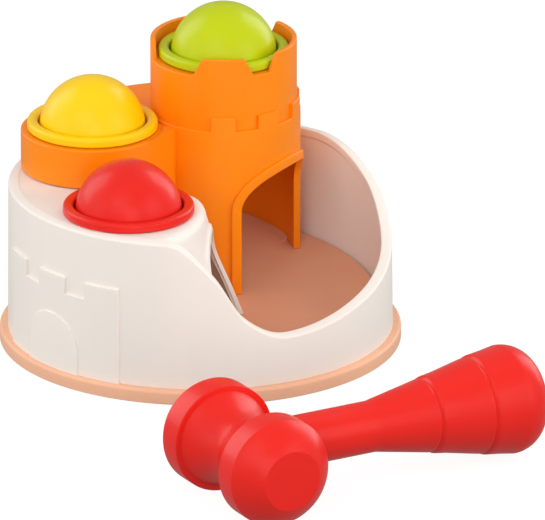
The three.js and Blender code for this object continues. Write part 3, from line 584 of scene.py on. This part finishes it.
def pedestal_column(t, low):
    """A section of the wall: up its face, over the rounded top and down its inside."""
    r, back = PEDESTAL_ROUND, -PEDESTAL_ROUND - PEDESTAL_T
    column = [on_pedestal(t, lerp(low, LEAN_TOP, share), 0) for share in QUARTERS]
    for bend in quarter_turn(6, 1):
        column.append(on_pedestal(t, LEAN_TOP + r * math.sin(bend), -r * (1 - math.cos(bend))))
    column += [on_pedestal(t, PEDESTAL_TOP, back), on_pedestal(t, PEDESTAL_TOP - DECK_T, back)]
    for share in reversed(QUARTERS):
        column.append(on_pedestal(t, lerp(low, LEAN_TOP - DECK_T, share), -PEDESTAL_T))
    return column


def pedestal():
    """The leaning wall, with its arched gate and cut to fit the drum, the tower and the skirt."""
    loops = []
    for i in range(PEDESTAL_STEPS + 1):
        t = i / PEDESTAL_STEPS
        x, y, _ = on_pedestal(t, PEDESTAL_FOOT, 0)
        loops.append(pedestal_column(t, ramp_height(x, y) + GAP))
    arch = [(GATE_Y - GATE_HALF_W, 0), (GATE_Y + GATE_HALF_W, 0)]
    for angle in range(0, 181, ARCH_TURN_STEP):
        turn = math.radians(angle)
        arch.append((GATE_Y + GATE_HALF_W * math.cos(turn), GATE_SPRING + GATE_HALF_W * math.sin(turn)))
    gate = loft([[(x, y, z) for y, z in arch] for x in (RED_AT[0], WALL_RIM_R)])
    outside, top = BASE_R + CUT_PAST, RIM_HIGH + CUT_PAST
    round_wall = lathe([
        (WALL_MIDDLE_R, -CUT_PAST), (outside, -CUT_PAST), (outside, top), (WALL_MIDDLE_R, top),
    ], closed=True)
    tower = drill(GREEN_AT, TOWER_R + GAP, 0, RIM_HIGH, 160)
    return carved(loft(loops), gate, round_wall, tower, skirt(GAP))


def lip(width, thick, inner_round, leg, place):
    """A raised border round an arched opening: up one leg, round the top and down the other leg.

    Each point comes from place(side, value, wide, out), where the side is -1, 0 for the top or 1,
    and the value is a share of the leg's height or an angle round the top.
    """
    section = rounded([
        (-LIP_LAP, -LIP_ROOT, 0), (-LIP_LAP, thick, inner_round),
        (width, thick, LIP_ROUND), (width, -LIP_ROOT / 2, 0),
    ], 4)
    stations = [(-1, share) for share in leg]
    stations += [(0, math.radians(angle)) for angle in range(180, -1, -ARCH_TURN_STEP)]
    stations += [(1, share) for share in reversed(leg)]
    return loft([[place(*station, wide, out) for wide, out in section] for station in stations])


def gate_lip():
    """The border round the gate, on the leaning wall."""

    def place(side, value, wide, out):
        reach = GATE_HALF_W + wide
        if side:
            y = GATE_Y + side * reach
            z = lerp(ramp_height(PEDESTAL_FOOT_X, y) + GAP, GATE_SPRING, value)
        else:
            y, z = GATE_Y + reach * math.cos(value), GATE_SPRING + reach * math.sin(value)
        return on_pedestal(along_gate(y, z), z, out)

    return lip(GATE_LIP_W, GATE_LIP_T, GATE_LIP_ROUND, THIRDS, place)


def deck():
    """The top of the covered part, open at the seats and round the tower."""
    reach = WALL_INNER_R + DECK_LAP
    edge = []
    for i in range(DECK_STEPS + 1):
        place, out = path_frame(EDGE, i / DECK_STEPS)
        edge.append(place - out * (PEDESTAL_ROUND + DECK_EDGE_LAP))
    edge = [p for p in edge if p.length < reach - DECK_END_SPACE]
    start, finish = bearing(edge[0]), bearing(GREEN_AT) - 360
    arc = [plan(CENTRE, reach, lerp(finish, start, i / ARC_STEPS)) for i in range(ARC_STEPS + 1)]
    outline = [tuple(p) for p in edge] + [GREEN_AT] + arc
    low, high = DECK_TOP - DECK_T, DECK_TOP
    red_hole = drill(RED_AT, SEAT_BORE_R, low, high)
    yellow_hole = drill(YELLOW_AT, TURRET_R - CASTLE_WALL * 2, low, high)
    tower_hole = drill(GREEN_AT, TOWER_R + GAP, low, high)
    return carved(prism(outline, low, high), red_hole, yellow_hole, tower_hole, skirt(GAP))


def seat_cup(at, top):
    """The cup under the deck that holds a collar and its grip."""
    outer, shelf = SEAT_BORE_R + SEAT_WALL, top - SEAT_DEPTH
    return lathe([
        (outer, shelf - SEAT_LIP_T), (outer, top - CUP_DROP), (SEAT_BORE_R, top - CUP_DROP),
        (SEAT_BORE_R, shelf), (SEAT_LIP_R, shelf), (SEAT_LIP_R, shelf - SEAT_LIP_T),
    ], at, 120, closed=True)


# A point part of the way round a softened end: its share of the way in and its drop
END_SHARE, END_DROP = 0.3, 0.29
NOTCH_SLIP = 0.01


def battlements():
    """The relief's castle wall: each column holds its face up to the notches and, above, a merlon."""
    outer, edge = WALL_FOOT_R + RELIEF_T, RELIEF_EDGE
    soft = math.degrees(edge / outer)
    # Each column has an angle, its edge's drop, or none in a notch, and whether it ends the relief
    columns = []
    for i in (-1, 0, 1):
        start = RELIEF_MIDDLE + (RELIEF_MERLON + RELIEF_NOTCH) * i - RELIEF_MERLON / 2
        end = start + RELIEF_MERLON
        first, last = i == -1, i == 1
        columns += [(start, edge, first), (start + soft * END_SHARE, edge * END_DROP, first)]
        for k in range(MERLON_STEPS + 1):
            columns.append((lerp(start + soft, end - soft, k / MERLON_STEPS), 0, False))
        columns += [(end - soft * END_SHARE, edge * END_DROP, last), (end, edge, last)]
        if not last:
            left, right = end + NOTCH_SLIP, end + RELIEF_NOTCH - NOTCH_SLIP
            columns += [(lerp(left, right, k / NOTCH_STEPS), None, False) for k in range(NOTCH_STEPS + 1)]

    def top_edge(r, z, steps):
        return [(r - edge * (1 - math.cos(bend)), z - edge * (1 - math.sin(bend)))
                for bend in quarter_turn(steps)]

    loops = []
    for angle, drop, at_end in columns:
        foot_r = outer - drop if at_end else outer
        if drop is None:
            high = RELIEF_LOW
            above = top_edge(outer, high, 8)
        else:
            high = RELIEF_HIGH - drop
            above = [(outer - drop, lerp(RELIEF_LOW - edge, high - edge, k / 4)) for k in range(4)]
            above += top_edge(outer - drop, high, 4)
        section = [(WALL_MIDDLE_R, WALL_SEAT), (foot_r, WALL_SEAT), (foot_r, RELIEF_LOW - edge),
                   *above, (WALL_MIDDLE_R, high)]
        loops.append([polar(CENTRE, r, angle, z) for r, z in section])
    return loft(loops)


def door():
    """The relief's door, with a round top and softened edges."""
    outer, edge = WALL_FOOT_R + RELIEF_T + DOOR_T, RELIEF_EDGE
    start, end = RELIEF_MIDDLE - DOOR_HALF, RELIEF_MIDDLE + DOOR_HALF
    soft = math.degrees(edge / outer)
    half_w = math.radians(DOOR_HALF) * WALL_FOOT_R
    angles = [lerp(start + soft, end - soft, i / DOOR_STEPS) for i in range(DOOR_STEPS + 1)]
    angles = [start, start + soft * END_SHARE, *angles, end - soft * END_SHARE, end]
    loops = []
    for angle in angles:
        across = math.radians(angle - RELIEF_MIDDLE) * WALL_FOOT_R
        from_end = min(1.0, (angle - start) / soft, (end - angle) / soft)
        drop = edge * (1 - math.sqrt(max(0.0, 1 - (1 - from_end) ** 2)))
        high = DOOR_TOP - half_w + math.sqrt(max(0, half_w**2 - across**2)) - drop
        section = rounded([
            (WALL_MIDDLE_R, WALL_SEAT, 0), (outer - drop, WALL_SEAT, 0),
            (outer - drop, high, edge), (WALL_MIDDLE_R, high, edge),
        ], 4)
        loops.append([polar(CENTRE, r, angle, z) for r, z in section])
    return loft(loops)


DRUM = [drum_wall(), pedestal(), gate_lip(), deck(), seat_cup(RED_AT, DECK_TOP), battlements(), door()]
piece("drum", DRUM, WHITE, "toy", ["drum_housing"])


# Orange castle

KEEP_STEP = 2
TOWER_ARCH_STEPS, TOWER_BACK_STEPS, BRIDGE_STEPS = 40, 180, 80
MERLON_SLIPS = (-0.4, -0.1, 0.1, 0.4)


def turret():
    """The low turret with the yellow ball's seat."""
    shelf, inner_r = TURRET_TOP - SEAT_DEPTH, TURRET_R - CASTLE_WALL
    return lathe(rounded([
        (TURRET_R, CASTLE_FOOT, TURRET_FOOT_ROUND), (TURRET_R, TURRET_TOP, TURRET_TOP_ROUND),
        (SEAT_BORE_R, TURRET_TOP, SEAT_ROUND), (SEAT_BORE_R, shelf, 0), (SEAT_LIP_R, shelf, 0),
        (SEAT_LIP_R, shelf - SEAT_LIP_T, 0), (inner_r, shelf - SEAT_LIP_T, 0), (inner_r, CASTLE_FOOT, 0),
    ]), YELLOW_AT, closed=True)


def keep_seat():
    """The green ball's seat, at the top of the tower."""
    shelf, outer = KEEP_TOP - SEAT_DEPTH, KEEP_R - KEEP_WALL + KEEP_LAP
    return lathe(rounded([
        (outer, KEEP_TOP, 0), (SEAT_BORE_R, KEEP_TOP, SEAT_ROUND), (SEAT_BORE_R, shelf, 0),
        (SEAT_LIP_R, shelf, 0), (SEAT_LIP_R, shelf - SEAT_LIP_T, 0), (outer, shelf - SEAT_LIP_T, 0),
    ]), GREEN_AT, closed=True)


def keep_wall():
    """The tower's upper wall, whose top runs up and down its slanted battlements."""
    begin = (KEEP_MERLONS[0][0] + KEEP_MERLONS[-1][1] - 360) / 2
    corners = [(begin, KEEP_TOP, 0)]
    for start, end in KEEP_MERLONS:
        corners += [
            (start, KEEP_TOP, MERLON_ROUND), (start + MERLON_SLANT, MERLON_TOP, MERLON_ROUND),
            (end - MERLON_SLANT, MERLON_TOP, MERLON_ROUND), (end, KEEP_TOP, MERLON_ROUND),
        ]
    corners.append((begin + 360, KEEP_TOP, 0))
    line = rounded(corners, 4, closed=False)
    inner_r, foot = KEEP_R - KEEP_WALL, TOWER_STEP - KEEP_SINK
    loops = []
    for a, b in zip(line, line[1:]):
        count = max(1, round((b.x - a.x) / KEEP_STEP))
        for k in range(count):
            angle, top = a.lerp(b, k / count)
            section = rounded([
                (KEEP_R, foot, 0), (KEEP_R, top, KEEP_ROUND),
                (inner_r, top, KEEP_ROUND), (inner_r, foot, 0),
            ], 4)
            loops.append([polar(GREEN_AT, r, angle, z) for r, z in section])
    return loft(loops, True)


def arch_height(angle):
    """The height of the arch's opening at an angle round the tower."""
    across = (angle - ARCH_MIDDLE) / ARCH_HALF
    return ARCH_SPRING + ARCH_RISE * math.sqrt(max(0, 1 - across**2))


def band_top(angle):
    """The stepped band's top, with battlements on the open side."""
    place = (angle + 180) % 360 - 180
    step = round(place / BAND_PITCH)
    raised = 0 <= step < BAND_MERLONS and abs(place - step * BAND_PITCH) < BAND_PITCH / 4
    return TOWER_STEP + (BAND_MERLON_H if raised else 0)


def tower_wall():
    """The tower's lower wall, standing on the ramp and opened by the arch."""
    start, end = ARCH_MIDDLE - ARCH_HALF, ARCH_MIDDLE + ARCH_HALF
    sides = [BAND_PITCH * (i + side) for i in range(BAND_MERLONS) for side in (-0.25, 0.25)]
    sides = [side + slip for side in sides for slip in MERLON_SLIPS]
    opened = [a for a in sides if start < a < end]
    for i in range(TOWER_ARCH_STEPS + 1):
        opened.append(ARCH_MIDDLE - ARCH_HALF * math.cos(math.pi * i / TOWER_ARCH_STEPS))
    closed = [a if a > end else a + 360 for a in sides if not start < a < end]
    closed += [lerp(end, start + 360, i / TOWER_BACK_STEPS) for i in range(TOWER_BACK_STEPS + 1)]
    columns = [(a, arch_height(a)) for a in sorted(opened)]
    for angle in sorted(closed):
        columns.append((angle, ramp_height(*plan(GREEN_AT, TOWER_R, angle)) + GAP))
    loops = []
    for angle, low in columns:
        top = band_top(angle)
        section = rounded([
            (TOWER_R, low, TOWER_FOOT_ROUND), (TOWER_R, top, TOWER_TOP_ROUND),
            (KEEP_R - BAND_LAP, top, 0), (KEEP_R - KEEP_WALL, TOWER_STEP - CASTLE_WALL, 0),
            (TOWER_INNER_R, TOWER_STEP - 2 * CASTLE_WALL, 0), (TOWER_INNER_R, low, TOWER_FOOT_ROUND),
        ], 3)
        loops.append([polar(GREEN_AT, r, angle, z) for r, z in section])
    return loft(loops, True)


def arch_lip():
    """The border round the tower's arch."""

    def place(side, value, wide, out):
        half = ARCH_HALF + math.degrees(wide / TOWER_R)
        if side:
            angle = ARCH_MIDDLE + side * half
            z = lerp(ramp_height(*plan(GREEN_AT, TOWER_R, angle)) + GAP, ARCH_SPRING, value)
        else:
            angle = ARCH_MIDDLE + half * math.cos(value)
            z = ARCH_SPRING + (ARCH_RISE + wide) * math.sin(value)
        return polar(GREEN_AT, TOWER_R + out, angle, z)

    return lip(ARCH_LIP_W, ARCH_LIP_T, LIP_ROUND, QUARTERS[:-1], place)


def bridge():
    """The deck between turret and tower, a shell that ends at both, and its skirt."""
    start, finish = bearing(YELLOW_AT), bearing(GREEN_AT) - 360

    def outline(inset):
        angles = (lerp(start, finish, i / BRIDGE_STEPS) for i in range(BRIDGE_STEPS + 1))
        arc = [plan(CENTRE, BRIDGE_R - inset, angle) for angle in angles]
        return [YELLOW_AT, *arc, GREEN_AT, bridge_front(BRIDGE_REACH, -inset), bridge_front(0, -inset)]

    hollow = prism(outline(CASTLE_WALL), CASTLE_FOOT - CUT_PAST, TURRET_TOP - CASTLE_WALL)
    turret_well = drill(YELLOW_AT, TURRET_R - CASTLE_WALL / 2, SKIRT_FOOT, TURRET_TOP)
    tower_well = drill(GREEN_AT, TOWER_R - BRIDGE_LAP, SKIRT_FOOT, TURRET_TOP)
    top = carved(prism(outline(0), CASTLE_FOOT, TURRET_TOP), hollow, turret_well, tower_well)
    return [top, carved(skirt(0), tower_well)]


piece("castle", [turret(), *bridge(), tower_wall(), keep_seat(), keep_wall(), arch_lip()],
      ORANGE, "toy", ["castle_top"])


# Collars, grips and balls

BALL_STEPS, PETAL_STEPS = 96, 10


def collar(at, top):
    """A flanged ring round a ball, with its neck down in the seat."""
    low = top + GAP + DECK_STEP / 2
    high = low + FLANGE_H
    neck = top - SEAT_DEPTH + 2 * GAP + GRIP_FLANGE_T
    neck_r = SEAT_BORE_R - GAP
    return lathe(rounded([
        (neck_r, neck, NECK_ROUND), (neck_r, low, 0), (FLANGE_R, low, FLANGE_LOW_ROUND),
        (FLANGE_R - FLANGE_DRAFT, high, FLANGE_ROUND), (COLLAR_HOLE_R, high, FLANGE_ROUND),
        (COLLAR_HOLE_R, neck, NECK_ROUND),
    ]), at, closed=True)


def grip(at, top):
    """A soft ring with petals that bear on the ball below its middle."""
    shelf, tip = top - SEAT_DEPTH + GAP, top - GRIP_DROP
    root = math.sqrt(BALL_R**2 - (top - shelf) ** 2) + GAP * 2
    end = math.sqrt(BALL_R**2 - (top - tip) ** 2) + GAP
    ring_r, ring_top = SEAT_BORE_R - GAP, shelf + GRIP_FLANGE_T
    shapes = [lathe(rounded([
        (ring_r, shelf, GRIP_LOW_ROUND), (ring_r, ring_top, GRIP_ROUND),
        (root, ring_top, GRIP_ROUND), (root, shelf, GRIP_LOW_ROUND),
    ]), at, 120, closed=True)]
    section = rounded([
        (root, shelf + PETAL_LAP, 0), (root + GRIP_SKIN, shelf + PETAL_LAP, 0),
        (end + GRIP_SKIN, tip, GRIP_ROUND), (end, tip, GRIP_ROUND),
    ], 3)
    half_slot = math.degrees(GRIP_SLOT_W / 2 / root)
    width = 360 / GRIP_PETALS - 2 * half_slot
    for i in range(GRIP_PETALS):
        start = 360 * i / GRIP_PETALS + half_slot
        angles = (start + width * k / PETAL_STEPS for k in range(PETAL_STEPS + 1))
        shapes.append(loft([[polar(at, r, angle, z) for r, z in section] for angle in angles]))
    return shapes


def ball(at, level):
    """Two moulded halves, joined at a fine seam."""
    profile = [(0, level - BALL_R)]
    for i in range(1, BALL_STEPS):
        bend = math.pi * (i / BALL_STEPS - 0.5)
        seam = SEAM_DEPTH * math.exp(-((math.sin(bend) * BALL_R / SEAM_W) ** 2))
        profile.append(((BALL_R - seam) * math.cos(bend), level + BALL_R * math.sin(bend)))
    profile.append((0, level + BALL_R))
    return lathe(profile, at, 144)


SEATS = (
    ("red", RED_AT, DECK_TOP, RED, RED_SOFT),
    ("yellow", YELLOW_AT, TURRET_TOP, YELLOW, YELLOW_SOFT),
    ("green", GREEN_AT, KEEP_TOP, GREEN, GREEN_SOFT),
)
for colour, at, top, hard, soft in SEATS:
    piece(f"{colour}_seat_collar", [collar(at, top)], hard, "toy", [f"{colour}_collar"])
    piece(f"{colour}_seat_grip", grip(at, top), soft, "toy", [f"{colour}_grip"])
    piece(f"{colour}_play_ball", [ball(at, top)], hard, f"{colour}_ball", [f"{colour}_ball"],
          BALL_SHARP_FROM)


# Hammer, turned about Z, then laid in place

WAIST_STEPS, DOME_STEPS, GRIP_CURVE_STEPS = 16, 24, 120
NECK_RINGS = (HANDLE_FROM, 30, 50)
HANDLE_END_RING = 5


def laid(shape, along):
    """A turned shape brought onto the handle's axis, or the head's across it, and laid down."""
    verts, faces = shape
    c, s = math.cos(math.radians(HAMMER_TURN)), math.sin(math.radians(HAMMER_TURN))
    moved = []
    for x, y, z in verts:
        u, v, w = (z, x, y) if along else (x, z, -y)
        moved.append((HAMMER_AT[0] + u * c - v * s, HAMMER_AT[1] + u * s + v * c, HEAD_R + w))
    return moved, faces


def head():
    """Two knobs, each a band with a stepped shoulder and a domed end, on a hollowed waist."""
    half = []
    for i in range(WAIST_STEPS):
        t = i / WAIST_STEPS
        half.append((lerp(HEAD_WAIST_R, HEAD_SHOULDER_R, t**HEAD_WAIST_POWER), HEAD_SHOULDER_AT * t))
    middle = HEAD_R**2 - HEAD_FACE_R**2 - HEAD_HALF**2 + HEAD_BAND_END**2
    middle /= 2 * (HEAD_BAND_END - HEAD_HALF)
    dome_r = math.hypot(HEAD_R, HEAD_BAND_END - middle)
    first = math.atan2(HEAD_BAND_END - middle, HEAD_R)
    last = math.atan2(HEAD_HALF - middle, HEAD_FACE_R)
    corners = [
        (HEAD_SHOULDER_R, HEAD_SHOULDER_AT, 0), (HEAD_R, HEAD_SHOULDER_AT + HEAD_BAND_SLANT, BAND_ROUND),
        (HEAD_R, HEAD_BAND_END, DOME_ROUND),
    ]
    for i in range(1, DOME_STEPS):
        bend = lerp(first, last, i / DOME_STEPS)
        corners.append((dome_r * math.cos(bend), middle + dome_r * math.sin(bend), 0))
    corners += [(HEAD_FACE_R, HEAD_HALF, DOME_ROUND), (HEAD_FACE_R / 2, HEAD_HALF, 0), (0, HEAD_HALF, 0)]
    half += [tuple(p) for p in rounded(corners, closed=False)]
    other = [(r, -z) for r, z in half[:0:-1]]
    return laid(lathe(other + half, sides=144), False)


def handle():
    """A slim neck that swells to a stepped grip with a rounded end."""
    end = HANDLE_END - GRIP_END_ROUND
    curve = catmull([
        Vector((GRIP_START, NECK_R)), *(Vector(step) for step in GRIP_STEPS), Vector((end, GRIP_END_R)),
    ], GRIP_CURVE_STEPS)
    profile = [(0, HANDLE_FROM), *((NECK_R, ring) for ring in NECK_RINGS)]
    for along, r in curve:
        for at, _ in GRIP_STEPS:
            past = along - at
            r -= GROOVE_DEPTH * math.exp(-((past / GROOVE_W) ** 2))
            r += GROOVE_STEP * (smooth(past / GROOVE_STEP_W) - smooth(past / GROOVE_FADE))
        profile.append((r, along))
    for bend in quarter_turn(24, 1):
        r = GRIP_END_R - GRIP_END_ROUND * (1 - math.cos(bend))
        profile.append((r, end + GRIP_END_ROUND * math.sin(bend)))
    profile += [(HANDLE_END_RING, HANDLE_END), (0, HANDLE_END)]
    return laid(lathe(profile, sides=144), True)


piece("mallet_head", [head()], RED, "hammer", ["hammer_head"], HAMMER_SHARP_FROM)
piece("mallet_handle", [handle()], RED, "hammer", ["hammer_handle"], HAMMER_SHARP_FROM)


# Screws, most of them seen from below


def screw(node):
    """A domed head with a cross slot, and a plain pointed shank."""
    at = screw_place(node)
    foot, tip = (corner.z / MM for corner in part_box(node))
    neck = foot + SCREW_HEAD_H
    body = lathe(rounded([
        (0, foot, 0), (SCREW_HEAD_R, foot, SCREW_HEAD_ROUND), (SCREW_HEAD_R, neck, SCREW_NECK_ROUND),
        (SCREW_R, neck, SCREW_NECK_ROUND), (SCREW_R, tip - SCREW_R, 0), (0, tip, 0),
    ], closed=False), at, 32)
    slots = []
    for wide, deep in ((SLOT_HALF_W, SLOT_HALF_L), (SLOT_HALF_L, SLOT_HALF_W)):
        corners = [(at[0] + u * wide, at[1] + v * deep) for u, v in SQUARE]
        slots.append(prism(corners, foot - CUT_PAST, foot + SLOT_DEPTH))
    return carved(body, *slots)


for node in SCREWS:
    piece(f"fitted_{node}", [screw(node)], STEEL, "toy", [node])


# Camera, light and a plain white surround, in metres and watts; the sensor and the floor in millimetres

scene = bpy.context.scene
scene.view_settings.view_transform = "Standard"

CAMERA_TARGET, CAMERA_RISE, CAMERA_AWAY = Vector((0.0339, 0.0122, 0.0329)), math.radians(20.3), 8
VIEW_W, SENSOR_W = 0.2564, 36
LIGHT_TARGET = Vector((0, -0.05, 0.06))
AMBIENT = 0.36
FLOOR_HALF, FLOOR_LEVEL = 3000, -0.2
FLOOR_GREY, FLOOR_GLOW = 0.12, 0.92

back = Vector((0, -math.cos(CAMERA_RISE), math.sin(CAMERA_RISE)))
camera = bpy.data.objects.new("camera", bpy.data.cameras.new("camera"))
scene.collection.objects.link(camera)
camera.location = CAMERA_TARGET + back * CAMERA_AWAY
camera.rotation_euler = (-back).to_track_quat("-Z", "Y").to_euler()
camera.data.sensor_width = SENSOR_W
camera.data.lens = SENSOR_W * CAMERA_AWAY / VIEW_W
camera.data.clip_start = 0.1
camera.data.clip_end = 50
scene.camera = camera


def softbox(name, place, size, power, shines=True):
    """A soft light aimed at the toy; one that doesn't shine leaves no reflection on gloss."""
    light = bpy.data.lights.new(name, "AREA")
    light.shape = "RECTANGLE"
    light.size, light.size_y = size
    light.energy = power
    made = bpy.data.objects.new(name, light)
    scene.collection.objects.link(made)
    made.location = place
    made.rotation_euler = (LIGHT_TARGET - Vector(place)).to_track_quat("-Z", "Y").to_euler()
    made.visible_glossy = shines


softbox("left", (-1.15, 0.6, 0.78), (0.9, 1.3), 7)
softbox("right", (1, 0.9, 0.72), (0.75, 1.3), 7.2)
softbox("front", (0.2, -1.5, 0.4), (0.8, 0.8), 2.4)
softbox("key", (-0.5, -1.2, 0.85), (1, 1), 8.5, False)
softbox("side", (-1.3, -0.4, 0.4), (0.8, 0.8), 4.6, False)
softbox("fill", (1.18, -0.75, 0.6), (1, 1), 11, False)
softbox("top", (0.1, -0.3, 1.5), (1.4, 1.4), 2.7, False)


def white_surround():
    """A world that the camera sees as white and that lights the toy more softly."""
    world = bpy.data.worlds.new("surround")
    world.use_nodes = True
    nodes, links = world.node_tree.nodes, world.node_tree.links
    paths = nodes.new("ShaderNodeLightPath")
    strength = nodes.new("ShaderNodeMix")
    links.new(paths.outputs["Is Camera Ray"], strength.inputs["Factor"])
    strength.inputs["A"].default_value = AMBIENT
    strength.inputs["B"].default_value = 1.0
    links.new(strength.outputs["Result"], nodes["Background"].inputs["Strength"])
    nodes["Background"].inputs["Color"].default_value = (1, 1, 1, 1)
    return world


def pale_floor():
    """Near white with a trace of the toy's shadow, and clear from below."""
    material = bpy.data.materials.new("pale_floor")
    material.use_nodes = True
    nodes, links = material.node_tree.nodes, material.node_tree.links
    shader = nodes["Principled BSDF"]
    shader.inputs["Base Color"].default_value = (FLOOR_GREY, FLOOR_GREY, FLOOR_GREY, 1)
    shader.inputs["Roughness"].default_value = 1.0
    shader.inputs["Specular IOR Level"].default_value = 0.0
    shader.inputs["Emission Color"].default_value = (1, 1, 1, 1)
    shader.inputs["Emission Strength"].default_value = FLOOR_GLOW
    side = nodes.new("ShaderNodeNewGeometry")
    above = nodes.new("ShaderNodeMath")
    above.operation = "SUBTRACT"
    above.inputs[0].default_value = 1.0
    links.new(side.outputs["Backfacing"], above.inputs[1])
    links.new(above.outputs["Value"], shader.inputs["Alpha"])
    return material


scene.world = white_surround()

# The floor is seen by the camera alone, so that it lights nothing
sheet = [(u * FLOOR_HALF, v * FLOOR_HALF, FLOOR_LEVEL) for u, v in SQUARE], [(0, 1, 2, 3)]
floor = bpy.data.objects.new("floor", mesh_of("floor", [sheet]))
scene.collection.objects.link(floor)
for ray in ("diffuse", "glossy", "transmission", "shadow"):
    setattr(floor, f"visible_{ray}", False)
floor.data.materials.append(pale_floor())
